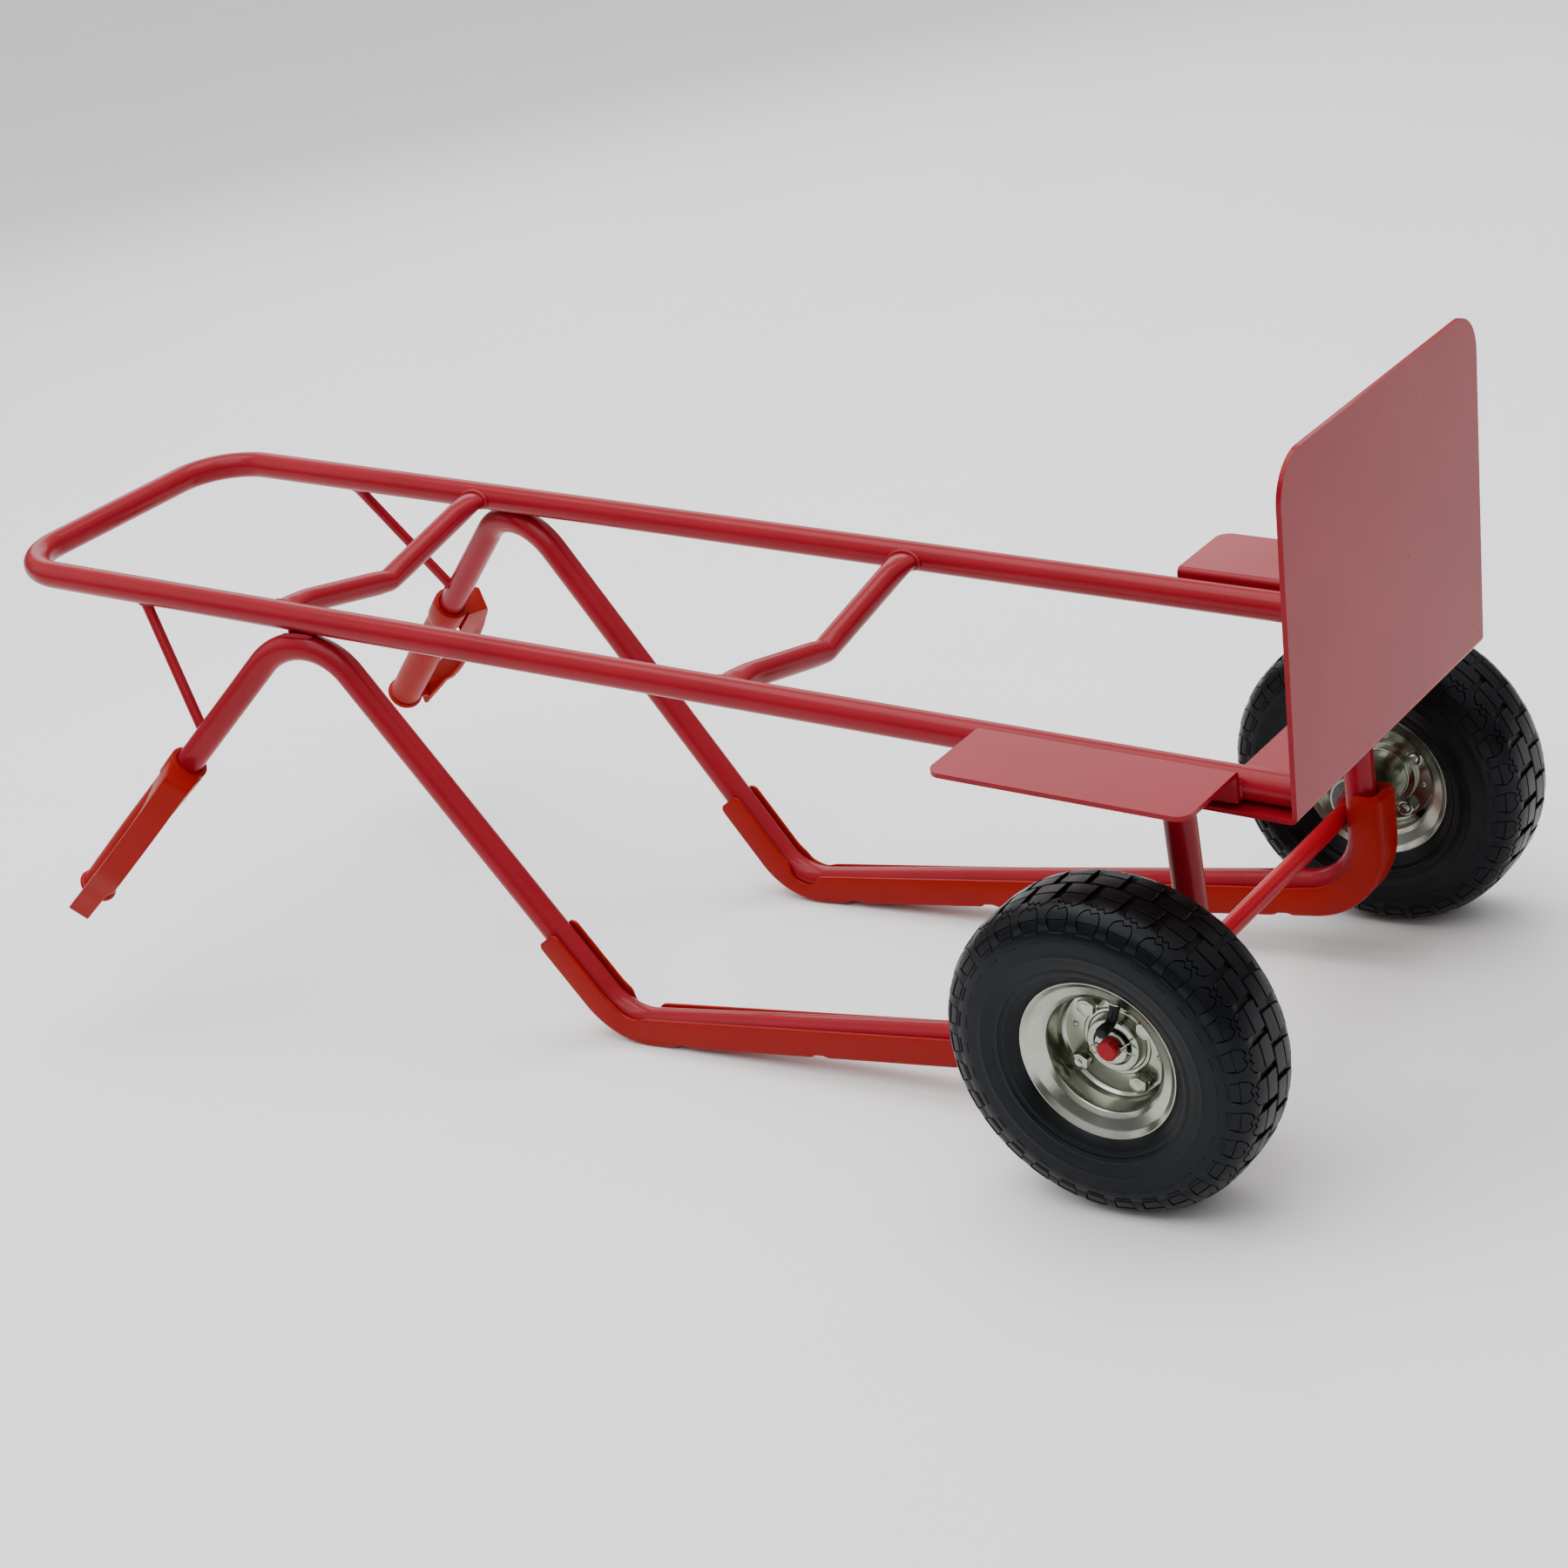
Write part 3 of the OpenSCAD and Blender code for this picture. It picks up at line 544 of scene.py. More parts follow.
def folded_sheet(start, ahead, out, bend_r, runs, half, corner, flats, rounds):
    """Sheet metal with one square bend and two round corners at its far end. It runs ahead from
    start, its outer face looking out, then turns off; runs are the flat lengths either side of the
    bend, half is half its width, flats and rounds are the rows on the far flat and its corners."""
    first, second = runs
    bend = bend_r * pi / 2
    across = ahead.cross(out)
    centre = start + first * ahead - bend_r * out
    straight = first + bend + second - corner
    edges = [(0, half), (first / 2, half)]
    edges += [(first + bend * k / 8, half) for k in range(9)]
    edges += [(first + bend + (straight - first - bend) * k / flats, half) for k in range(1, flats + 1)]
    for angle in [pi / 2 * k / rounds for k in range(1, rounds + 1)]:
        edges.append((straight + corner * sin(angle), half - corner + corner * cos(angle)))
    rows = []
    for along, reach in edges:
        turned = min(pi / 2, max(0.0, (along - first) / bend_r))
        normal = cos(turned) * out + sin(turned) * ahead
        outer = centre + bend_r * normal
        outer += min(0.0, along - first) * ahead - max(0.0, along - first - bend) * out
        side, inner = reach * across, outer - SHEET * normal
        rows.append([outer - side, outer + side, inner + side, inner - side])
    return skin(rows)


# ---------------------------------------------------------------- frame tubes and welds
def make_main_frame(paint):
    points = [Vector((x, y, 0)) for x, y in ((-SHEET, RAIL_Y), (-FRAME_LENGTH, RAIL_Y),
                                             (-FRAME_LENGTH, -RAIL_Y), (-SHEET, -RAIL_Y))]
    shape = tube_shape(points, [0, CORNER_R, CORNER_R, 0], TUBE_R, UP, 4)
    finished("main_frame_tube_painted", shape, RAIL, paint, 60, "frame", "paint", "main_frame_tube")


def cross_bar_shape(at):
    """Cross bar: pressed flatter and wider where its ends run onto the rails."""
    stub, inset = 22, 4
    end, knee = RAIL_Y - inset, RAIL_Y - stub
    line = (end, 0), (knee, 0), (0, -CROSS_BAR_DIP), (-knee, 0), (-end, 0)
    points = [Vector((-at, y, z)) for y, z in line]
    path = bent_path(points, [0, 30, 12, 30, 0], step=3, spacing=6)
    sections = []
    for point in path:
        flat = smooth_step(1 - (RAIL_Y - abs(point.y) - 10) / 34)
        crease = max(0.0, 1 - abs(point.y) / 16)
        sections.append(oval(CROSS_BAR_R * (1 + 0.30 * flat + 0.05 * crease),
                             CROSS_BAR_R * (1 - 0.34 * flat - 0.10 * crease), 40))
    return sweep(path, sections, AHEAD)


def make_cross_bars(paint):
    wide, high = CROSS_BAR_R * 1.30 + 0.3, CROSS_BAR_R * 0.66 + 0.3
    for number, (node, at) in enumerate(CROSS_BARS.items()):
        shape = cross_bar_shape(at)
        for sign in (1, -1):
            loop = []
            for x, z in oval(wide, high, 48):
                y = RAIL_Y - sqrt(TUBE_R ** 2 - z ** 2) - 0.3
                loop.append(Vector((x - at, sign * y, z)))
            shape.merge(weld_bead(loop, 2.3, 10 * number + sign, Vector((1, 0, 0.2)), looped=True))
        finished(node + "_painted", shape, RAIL, paint, 50, "frame", "paint", node)


def make_side_tube(side, paint):
    """Handle, apex, diagonal, skid and upright from one tube, with the welds under the rail."""
    shape = tube_shape(SIDE_PATH, SIDE_BENDS, TUBE_R - 0.02, ACROSS, 3)
    apex_weld(shape)
    # The upright's top, coped to the rail's underside
    loop = []
    for angle in turns(44):
        across = TUBE_R * sin(angle)
        drop = sqrt(max(0.0, TUBE_R ** 2 - (across + UPRIGHT_TOP.y - RAIL_Y) ** 2))
        loop.append(UPRIGHT_TOP + Vector(((TUBE_R + 0.4) * cos(angle), across, -drop - 0.6)))
    shape.merge(weld_bead(loop, 2.2, 31, UP, looped=True))
    # The axle's weld on the rear of the upright
    seat = Vector((AXLE.x + AXLE_R, side_point(AXLE.x, AXLE.z).y, AXLE.z))
    for sign in (1, -1):
        shape.merge(seam(seat + Vector((2.5, -7, sign * 5.5)), (0, 14, 0), 2.4, 47 + sign, AHEAD))
    finished(side + "_side_tube_painted", shape, ON_RAIL[side], paint, 60,
             "frame", "paint", side + "_side_tube")


def apex_weld(shape):
    """Two beads, one each side, where the apex bend lies against the rail's underside."""
    top = [p for p in bent_path(SIDE_PATH, SIDE_BENDS, 3) if -995 < p.x < -905 and p.z > -32]
    widest_gap = 3.2
    for sign in (1, -1):
        bead = []
        for point in top:
            gap = max(0.0, -point.z - 2 * TUBE_R * 0.94)
            if gap < widest_gap:
                bead.append(Vector((point.x, point.y + sign * (6.2 - 0.9 * gap), point.z / 2 + 0.4)))
        if len(bead) > 2:
            shape.merge(weld_bead(bead, 2.3, 60 + sign, UP))


def make_handle_strut(side, paint):
    """Thin brace, spoon-flattened where it meets the rail, with a weld blob at each end."""
    strut_r = 5
    foot = APEX + 180 * HANDLE_DIR - Vector((0, 5, 0))
    head = Vector((foot.x - 83, RAIL_Y - 1, 0))
    line = [foot.lerp(head, k / 24) for k in range(25)]
    sections = []
    for point in line:
        flat = max(0.0, 1 - max(0.0, (point - head).length - 11) / 16)
        sections.append(oval(strut_r * (1 + 0.55 * flat), strut_r * (1 - 0.38 * flat), 24))
    shape = sweep(line, sections, Vector((1, 0, 0.4)))
    direction = (head - foot).normalized()
    across = direction.cross(AHEAD).normalized()
    up = direction.cross(across)
    loop = [foot + 9.5 * direction + x * across + y * up for x, y in ring(5.4, 28)]
    shape.merge(weld_bead(loop, 1.7, 71, direction, looped=True))
    # At the head the bead follows the rail's underside
    seat = head - direction * (TUBE_R / direction.z)
    loop = []
    for x, y in oval(7.4, 4.6, 28):
        under = sqrt(TUBE_R ** 2 - (seat.y + y - RAIL_Y) ** 2)
        loop.append(Vector((seat.x + x, seat.y + y, -under - 0.1)))
    shape.merge(weld_bead(loop, 1.5, 73, UP, looped=True))
    finished(side + "_handle_strut_painted", shape, ON_RAIL[side], paint, 60,
             "frame", "paint", side + "_handle_strut")


def make_axle(paint):
    """Axle rod with chamfered ends."""
    half, chamfer = AXLE_LENGTH / 2, 1
    profile = [(0, -half), (AXLE_R - chamfer, -half), (AXLE_R, chamfer - half), (AXLE_R, half - chamfer),
               (AXLE_R - chamfer, half), (0, half)]
    middle = ON_WHEEL["left"] @ Matrix.Translation((0, 0, -WHEEL_Y))
    finished("axle_painted", lathe(profile, 48, closed=False), middle, paint, 30, "frame", "paint", "axle")


# ---------------------------------------------------------------- sheet metal
def make_toe_plate(paint):
    """One sheet: the flange under the rails, a tight bend and the tall plate with two round corners."""
    bend_r = SHEET + 2
    bottom = -TUBE_R - SHEET
    runs = TOE_FLANGE - bend_r, TOE_HEIGHT - bottom - bend_r
    shape = folded_sheet(Vector((-TOE_FLANGE, 0, bottom)), AHEAD, -UP, bend_r, runs,
                         TOE_HALF_WIDTH, TOE_CORNER_R, 5, 24)
    piece = oriented(solid_from("toe_plate_painted", shape, RAIL, paint))
    placed(bevelled(piece, 0.8), "frame", "paint", "toe_plate")
    welds = Shape()
    top = bottom + SHEET
    for sign in (1, -1):
        rail_y = sign * RAIL_Y
        # Along the rail on the flange, inboard, and round the rail's end against the plate
        welds.merge(seam((2 - TOE_FLANGE, sign * (RAIL_Y - 7.5), top + 1.9), (64, 0, 0), 2.6, 81 + sign, UP))
        bow = arc((0, rail_y), TUBE_R + 0.5, -100, 100, 40)
        loop = [Vector((-SHEET - 0.8, y, z)) for z, y in bow]
        welds.merge(weld_bead(loop, 2.0, 85 + sign, AHEAD))
        welds.merge(seam((-TOE_FLANGE - 0.6, rail_y - 7.5, top - 0.5), (0, 15, 0), 2.2, 89 + sign, UP))
    finished("toe_plate_welds", welds, RAIL, paint, 60, "frame", "paint")


def make_wheel_guard(side, paint):
    """Wheel guard: flat top, one edge turned down against the rail, two rounded outer corners."""
    bend_r = SHEET + 1
    leg = 25
    leg_y = RAIL_Y + TUBE_R
    half = GUARD_LENGTH / 2
    foot = Vector((-GUARD_AT - half, leg_y, GUARD_TOP - leg))
    runs = leg - bend_r, GUARD_REACH - leg_y - bend_r
    shape = folded_sheet(foot, UP, -ACROSS, bend_r, runs, half, 12, 3, 12)
    piece = oriented(solid_from(side + "_wheel_guard_painted", shape, ON_RAIL[side], paint))
    placed(bevelled(piece, 0.7), "frame", "paint", side + "_wheel_guard")
    welds = Shape()
    for start in (-half + 6, -20, half - 46):
        welds.merge(seam(foot + Vector((start, 0.4, -0.4)), (40, 0, 0), 2.4, 93 + round(start), UP))
    for sign in (1, -1):
        welds.merge(seam(foot + Vector((sign * (half + 0.4), -0.8, 1)), (0, 0, 15), 2.1, 97 + sign, AHEAD))
    finished(side + "_wheel_guard_welds", welds, ON_RAIL[side], paint, 60, "frame", "paint")


# ---------------------------------------------------------------- plastic skid covers and hand grips
COVER_DEPTH = 20
COVER_WALL = 7
COVER_HALF = 16
BACK_RUN = 98
FRONT_RUN = 91
BORE_R = TUBE_R + 0.1
diagonal = (HEEL - APEX).normalized()
skid_line = (SKID_TOE - HEEL).normalized()
upright = (UPRIGHT_TOP - SKID_TOE).normalized()
COVER_HEEL = HEEL + 3.65 / cos(diagonal.angle(skid_line) / 2) * (skid_line - diagonal).normalized()
COVER_TOE = side_point(SKID_TOE.x + 4, SKID_TOE.z - 4.5)


def make_skid_cover(side, plastic):
    """Channel with a thick sole: walls cut lower at the heel, notched sole, a scooped end up the upright."""
    ends = COVER_HEEL - BACK_RUN * diagonal, COVER_TOE + FRONT_RUN * upright
    path = bent_path([ends[0], COVER_HEEL, COVER_TOE, ends[1]], [0, 55, 55, 0], step=2.5, spacing=3)
    tube = bent_path(SIDE_PATH, SIDE_BENDS, step=3, spacing=3)
    lengths = distances(path)
    plane = diagonal.cross(skid_line).normalized()
    plane = plane if plane.y > 0 else -plane
    corners = [lengths[min(range(len(path)), key=lambda i: (path[i] - corner).length)]
               for corner in (COVER_HEEL, COVER_TOE)]
    notches = [corners[0] + 60 + 147 * k for k in range(4)]
    rows = []
    for (point, tangent, _, _), s in zip(frames_along(path, plane), lengths):
        down = plane.cross(tangent)
        nearest = min(tube, key=lambda p: (p - point).length_squared)
        section = cover_section(s, lengths[-1], corners, notches, (nearest - point).dot(down))
        rows.append([point + d * down + w * plane + slide * tangent for d, w, slide in section])
    finished(side + "_skid_cover_moulded", skin(rows), ON_RAIL[side], plastic, 40,
             "frame", "red_plastic", side + "_skid_cover")


def cover_section(s, total, corners, notches, tube_at):
    """Outline of the cover at a distance along it, as (down, outboard, shift along); the tube's
    centre lies tube_at below the section's own centre."""
    heel_s, toe_s = corners
    left = min(s, total - s)
    depth = COVER_DEPTH - 3.5 * max(0.0, 1 - left / 4.5) ** 2
    for notch in notches:
        depth -= 2.0 * min(1.0, 1.6 * max(0.0, 1 - ((s - notch) / 8.5) ** 2))
    tops, halves = {}, []
    edge = 4.0
    for sign in (1, -1):
        top = COVER_WALL - 0.2
        top -= (11.0 if sign < 0 else 3.0) * exp(-((s - heel_s - 6) / 15) ** 4)
        top -= 1.2 * exp(-((s - toe_s + 70) / 22) ** 2)
        top -= 4.5 * max(0.0, 1 - left / 6) ** 2
        tops[sign] = -top
        half = [(0.9 - top, BORE_R), (0.3 - top, BORE_R + 0.3), (-top, BORE_R + 0.9),
                (-top, COVER_HALF - 1.2), (0.35 - top, COVER_HALF - 0.35), (1.2 - top, COVER_HALF)]
        half += [(depth - edge + d, COVER_HALF - edge + w) for w, d in arc((0, 0), edge, 0, 90, 6)]
        halves.append([(d, sign * w) for d, w in half])
    points = halves[0] + list(reversed(halves[1]))
    # The bore: down the far wall, round under the tube and up the near wall
    for k in range(25):
        low = max(tube_at, tops[-1 if k < 12 else 1] + 1.2)
        points.append((low + BORE_R * sin(pi * k / 24), -BORE_R * cos(pi * k / 24)))
    # The scooped end: the sides slide back past the middle over the last stretch
    share = max(0.0, 1 - (total - s) / 14)
    result = []
    for d, w in points:
        outward = abs(w) / COVER_HALF
        slide = share * (4.5 * max(0.0, outward - 0.72) / 0.28 - 4.0 * (1 - outward ** 2))
        result.append((d, w, min(slide, 0.0) - share * 0.5))
    return result


def grip_matrix():
    """Frame of the left grip: origin at the handle's end, +Z back along the handle, +X to the guard."""
    z = -HANDLE_DIR
    out = (ACROSS - z.y * z).normalized()
    roll = radians(22.7)
    x = cos(roll) * out + sin(roll) * out.cross(z)
    axes = Matrix((x, z.cross(x), z)).transposed().to_4x4()
    return Matrix.Translation(HANDLE_END) @ axes


def rounded_rectangle(width, height, radius, count=5):
    """Section points of a rectangle with round corners, as (across, through)."""
    points = []
    for cx, cy, first in ((1, 1, 0), (-1, 1, 90), (-1, -1, 180), (1, -1, 270)):
        centre = (cx * (width / 2 - radius), cy * (height / 2 - radius))
        points += arc(centre, radius, first, first + 90, count)
    return points


def make_hand_grip(side, plastic):
    """Soft sleeve with a collar and an end flange, and the knuckle guard that bows over the fingers."""
    top = GRIP_LENGTH - 3
    waist = 12
    profile = [(0, -3), (14, -3)] + arc((14.5, 0.6), 3.6, -90, 90, 10)[1:]
    profile += [(GRIP_R + 0.4, 5.6), (GRIP_R, 9)]
    profile += [(GRIP_R + 0.55 * sin(pi * k / waist), 9 + (top - 42) * k / waist) for k in range(1, waist)]
    profile += [(GRIP_R, top - 33), (GRIP_R + 0.6, top - 29), (GRIP_R + 2.0, top - 25)]
    profile += [(GRIP_R + 2.3, top - 12)] + arc((GRIP_R + 1.1, top - 1.2), 1.2, 0, 90, 4)
    profile += [(TUBE_R + 0.9, top), (TUBE_R + 0.05, top - 1.2), (TUBE_R + 0.05, top - 30)]
    shape = lathe(profile, 72, closed=False)
    # Knuckle guard: a band between an outer and an inner line, wide where it leaves the collar
    lines = [catmull_rom([Vector((x, 0, z)) for x, z in line], 5) for line in (GUARD_OUTER, GUARD_INNER)]
    rows = []
    for i, (o, n) in enumerate(zip(*lines)):
        share = i / (len(lines[0]) - 1)
        narrow = min(1.0, max(0.0, share - 0.78) / 0.05)
        wide = 24 + 8 * max(0.0, 1 - share / 0.3) ** 1.5 - 3.2 * narrow
        section = rounded_rectangle(wide, (o - n).length - 0.1, 1.4)
        through = (o - n).normalized()
        rows.append([(o + n) / 2 + (a + 1.6 * narrow) * ACROSS + b * through for a, b in section])
    shape.merge(skin(rows))
    # Web between the end flange and the band's foot
    web = [Vector((9 + 20 * k / 6, 0, 0.4 - 6.0 * (k / 6) ** 2)) for k in range(7)]
    shape.merge(sweep(web, [rounded_rectangle(17 - 0.6 * k, 5.0, 1.8) for k in range(7)], ACROSS))
    finished(side + "_hand_grip_moulded", shape, ON_RAIL[side] @ grip_matrix(), plastic, 42,
             "frame", "red_plastic", side + "_hand_grip")


GUARD_OUTER = [
    (12.6, 184.8), (20, 184.8), (27, 184.8), (32.5, 184.2), (36.3, 181), (38.2, 174.5), (40.5, 160),
    (42.8, 147), (44.5, 128), (45.5, 110), (45.9, 88), (45.6, 66), (44.3, 53), (41.8, 42), (38.3, 28),
    (35.4, 14), (32, 0), (28.6, -16.6)]
GUARD_INNER = [
    (12.6, 151), (19, 149), (25, 144.5), (29, 139.5), (32, 134), (34.6, 128), (37, 121), (38.9, 113),
    (40.3, 104), (41, 94), (41.1, 82), (39.6, 67), (38, 58), (35.8, 46), (32.8, 31), (29.4, 17),
    (26.4, 3), (23.7, -15.6)]


# ---------------------------------------------------------------- wheels
TYRE_R = 130
TYRE_HALF = 42.2
BELLY_R = 95
RIM_HALF = 31.5
SPLIT_Z = -4
DISC = 2.5
HUB_R = 22
RACE_R = 20
HUB_OUT = 6.5
HUB_IN = -68
BOLT_CIRCLE_R = 34.5
BOLT_ANGLE = 34.4
PITCHES = 30
TREAD_SPREAD = 1.06
# Moulded lines round the sidewall, at arc lengths from the crown: (half width, height)
RIM_LINES = {70.0: (1.3, 0.35), 83.0: (1.1, 0.9), 88.5: (0.8, 0.5)}


def tyre_envelope(turn):
    """Outer outline of the tyre at an angle from the crown: (radius, distance from the mid-plane)."""
    c, s = cos(turn), sin(turn)
    power = 2 / 3.3 if c > 0 else 2 / 2.25
    rise = TYRE_R - BELLY_R if c > 0 else 41
    return BELLY_R + rise * copysign(abs(c) ** power, c), TYRE_HALF * abs(s) ** power


def envelope_table(count=360, last=137):
    """Crown to bead: (arc length, radius, z, normal r, normal z)."""
    points = [tyre_envelope(radians(last * k / count)) for k in range(count + 1)]
    table, length = [], 0.0
    for k, (r, z) in enumerate(points):
        if k:
            length += hypot(r - points[k - 1][0], z - points[k - 1][1])
        a, b = points[max(0, k - 1)], points[min(count, k + 1)]
        dr, dz = b[0] - a[0], b[1] - a[1]
        size = hypot(dr, dz)
        table.append((length, r, z, dz / size, -dr / size))
    return table


ENVELOPE = envelope_table()


def on_tyre(v, lift):
    """Point of the tyre's outline at an arc length from the crown, lifted along the normal."""
    away = abs(v)
    low = min(bisect(ENVELOPE, (away, inf)), len(ENVELOPE) - 1) - 1
    first, second = ENVELOPE[low], ENVELOPE[low + 1]
    share = min(1.0, max(0.0, (away - first[0]) / (second[0] - first[0])))
    _, r, z, nr, nz = (a + share * (b - a) for a, b in zip(first, second))
    return r + lift * nr, copysign(z + lift * nz, v)


def casing_lift(v):
    """How far the casing stands off the tread's envelope: sunk under the tread, with the moulded
    lines on the sidewall."""
    lines = sum(height * exp(-((v - at) / width) ** 2) for at, (width, height) in RIM_LINES.items())
    return lines - 3.0 * smooth_step((60 - abs(v)) / 22)


def block(outline, top, bevel=0.45, base=-4.2):
    """Tread block in (u, v, height): straight walls, a small bevel, cut up so that it can bend."""
    work = bmesh.new()
    face = work.faces.new([work.verts.new((u, v, base)) for u, v in outline])
    if face.normal.z < 0:
        face.normal_flip()
    face.normal_update()
    raised = bmesh.ops.extrude_face_region(work, geom=[face])
    upper = [e for e in raised["geom"] if isinstance(e, bmesh.types.BMVert)]
    bmesh.ops.translate(work, verts=upper, vec=(0, 0, top - bevel - base))
    cap = [e for e in raised["geom"] if isinstance(e, bmesh.types.BMFace)]
    work.normal_update()
    if bevel:
        depth = bevel if cap[0].normal.z > 0 else -bevel
        bmesh.ops.inset_individual(work, faces=cap, thickness=bevel, depth=depth)
    low_u, high_u = min(p[0] for p in outline), max(p[0] for p in outline)
    low_v, high_v = min(p[1] for p in outline), max(p[1] for p in outline)
    for axis, low, high, step in ((0, low_u, high_u, 4.6), (1, low_v, high_v, 3.6)):
        pieces = ceil((high - low) / step)
        for k in range(1, pieces):
            at = low + (high - low) * k / pieces
            point = (at, 0, 0) if axis == 0 else (0, at, 0)
            normal = (1, 0, 0) if axis == 0 else (0, 1, 0)
            geometry = work.verts[:] + work.edges[:] + work.faces[:]
            bmesh.ops.bisect_plane(work, geom=geometry, plane_co=point, plane_no=normal, dist=1e-4)
    bmesh.ops.recalc_face_normals(work, faces=work.faces)
    work.verts.index_update()
    faces = [tuple(v.index for v in f.verts) for f in work.faces]
    shape = Shape().add([v.co.copy() for v in work.verts], faces)
    work.free()
    return shape


def tread_pitch():
    """One pitch of one half of the tread, in millimetres along and across: two rows of blocks that
    interlock along a zigzag, and the web between them, parted by narrow grooves."""
    shape = Shape()
    crown = [(-10.8, 1.0), (10.8, 1.0), (11.2, 6.0), (10.2, 13.2), (-10.4, 13.2), (-11.2, 7.0)]
    shape.merge(block(crown, -0.15))
    tulip = [(-10.5, 14.6), (10.4, 14.6), (9.6, 19.0), (8.2, 23.8), (6.0, 25.9), (2.8, 27.4),
             (0.6, 24.0), (-3.3, 26.2), (-5.4, 23.1), (-8.1, 25.3), (-10.4, 22.6)]
    house = [(-15.9, 38.0), (-16.2, 35.6), (-14.4, 32.0), (-11.8, 29.7), (-9.0, 28.1), (-6.5, 31.4),
             (-1.8, 29.2), (0.6, 31.4), (1.6, 34.2), (2.0, 36.6), (1.7, 38.0)]
    foot = [(-15.9, 38.3), (1.7, 38.3), (0.4, 45.6), (-14.8, 45.6)]
    dash = [(-15.2, 47.2), (-0.2, 47.2), (-0.5, 48.7), (-14.9, 48.7)]
    for outline, top in ((tulip, -0.15), (house, -0.35), (foot, -1.15), (dash, -0.35)):
        shape.merge(block(outline, top, 0.3))
    shape.merge(block([(-14.2, 54.0), (-2.0, 54.0), (-2.2, 55.2), (-14.0, 55.2)], 0.35, 0.25))
    web_top = -0.55
    web = block([
        (-16.0, 14.8), (-17.1, 19.2), (-18.2, 25.0), (-24.43, 28.45), (-24.83, 33.9), (-24.43, 37.0),
        (-26.0, 47.0), (-15.4, 47.0), (-17.0, 36.0), (-15.1, 31.2), (-12.0, 28.4), (-9.0, 27.05),
        (-6.5, 30.35), (-1.8, 28.15), (1.3, 31.0), (2.4, 33.9), (2.8, 28.45), (0.6, 25.1), (-3.3, 27.25),
        (-5.4, 24.15), (-8.1, 26.35), (-11.3, 23.3), (-11.3, 14.8)], web_top, 0)
    for point in web.verts:
        if point.z > web_top - 0.1:
            point.z -= 2.3 * smooth_step((23 - point.y) / 7) + 1.0 * smooth_step((point.y - 40) / 7)
    return shape.merge(web)


def make_tyre(side, rubber):
    """Casing with its beads and rim line, and the tread blocks standing on it."""
    steps = 56
    places = [ENVELOPE[-1][0] * k / steps for k in range(steps + 1)]
    places += [centre + step for centre in RIM_LINES for step in (-1.2, -0.5, 0.5, 1.2)]
    half = [on_tyre(v, casing_lift(v)) for v in sorted(places)]
    bead = [(61, 25), (56, 22.6), (53, 21.4), (49.6, 18.5), (49.2, 14), (49.2, 9)]
    inner = [(58, 15), (66, 22), (76, 30), (88, 34.5), (100, 34.5), (112, 29), (119, 20), (122.5, 10),
             (123.3, 0)]
    upper = half + bead + inner
    lower = [(r, -z) for r, z in reversed(upper[1:-1])]
    shape = lathe(upper + lower, 180)
    pitch = tread_pitch()
    for sign in (1, -1):
        for turn in turns(PITCHES):
            # The two halves of the tread are half a pitch apart
            start = turn + (pi / PITCHES if sign < 0 else 0)
            verts = []
            for point in pitch.verts:
                r, z = on_tyre(sign * point.y * TREAD_SPREAD, point.z)
                verts.append(polar(r, start + sign * point.x / TYRE_R, z))
            shape.add(verts, pitch.faces)
    finished(side + "_tyre_moulded", shape, ON_WHEEL[side], rubber, 38,
             side + "_wheel", "tyre", side + "_tyre")


def filleted(points):
    """Closed outline with rounded corners from (r, z, corner radius)."""
    result = []
    for i, (x, y, radius) in enumerate(points):
        if radius <= 0:
            result.append((x, y))
            continue
        corner = Vector((x, y))
        before = Vector(points[i - 1][:2]) - corner
        after = Vector(points[(i + 1) % len(points)][:2]) - corner
        half = before.angle(after) / 2
        trim = min(radius / tan(half), 0.48 * before.length, 0.48 * after.length)
        radius = trim * tan(half)
        centre = corner + (before.normalized() + after.normalized()).normalized() * radius / sin(half)
        start = corner + trim * before.normalized() - centre
        end = corner + trim * after.normalized() - centre
        first = atan2(start.y, start.x)
        turned = (atan2(end.y, end.x) - first + pi) % (2 * pi) - pi
        pieces = max(2, ceil(abs(degrees(turned)) / 12))
        result += arc(centre, radius, degrees(first), degrees(first + turned), pieces)
    return result


def rim_outline(width):
    """Half a pressed rim: disc with a raised ring, dished wall, bead seat and rolled flange."""
    bore = HUB_R + 0.1
    return filleted([
        (bore, 0, 0), (44.5, 0, 2), (47.8, 4, 3), (49, 9, 3), (49, width - 12, 3), (53, width - 9.4, 2),
        (61, width - 6, 6), (65.4, width - 2.4, 0.9), (64.4, width - 0.3, 0.9), (59.6, width - 4.3, 6),
        (51.4, width - 8.0, 2), (47.2, width - 10.9, 3), (47.0, 9.5, 3), (45.8, 5, 2.5), (43.4, DISC, 1),
        (28, DISC, 0.7), (27, DISC + 0.9, 0.7), (24.8, DISC + 0.9, 0.7), (23.8, DISC, 0.5), (bore, DISC, 0)])


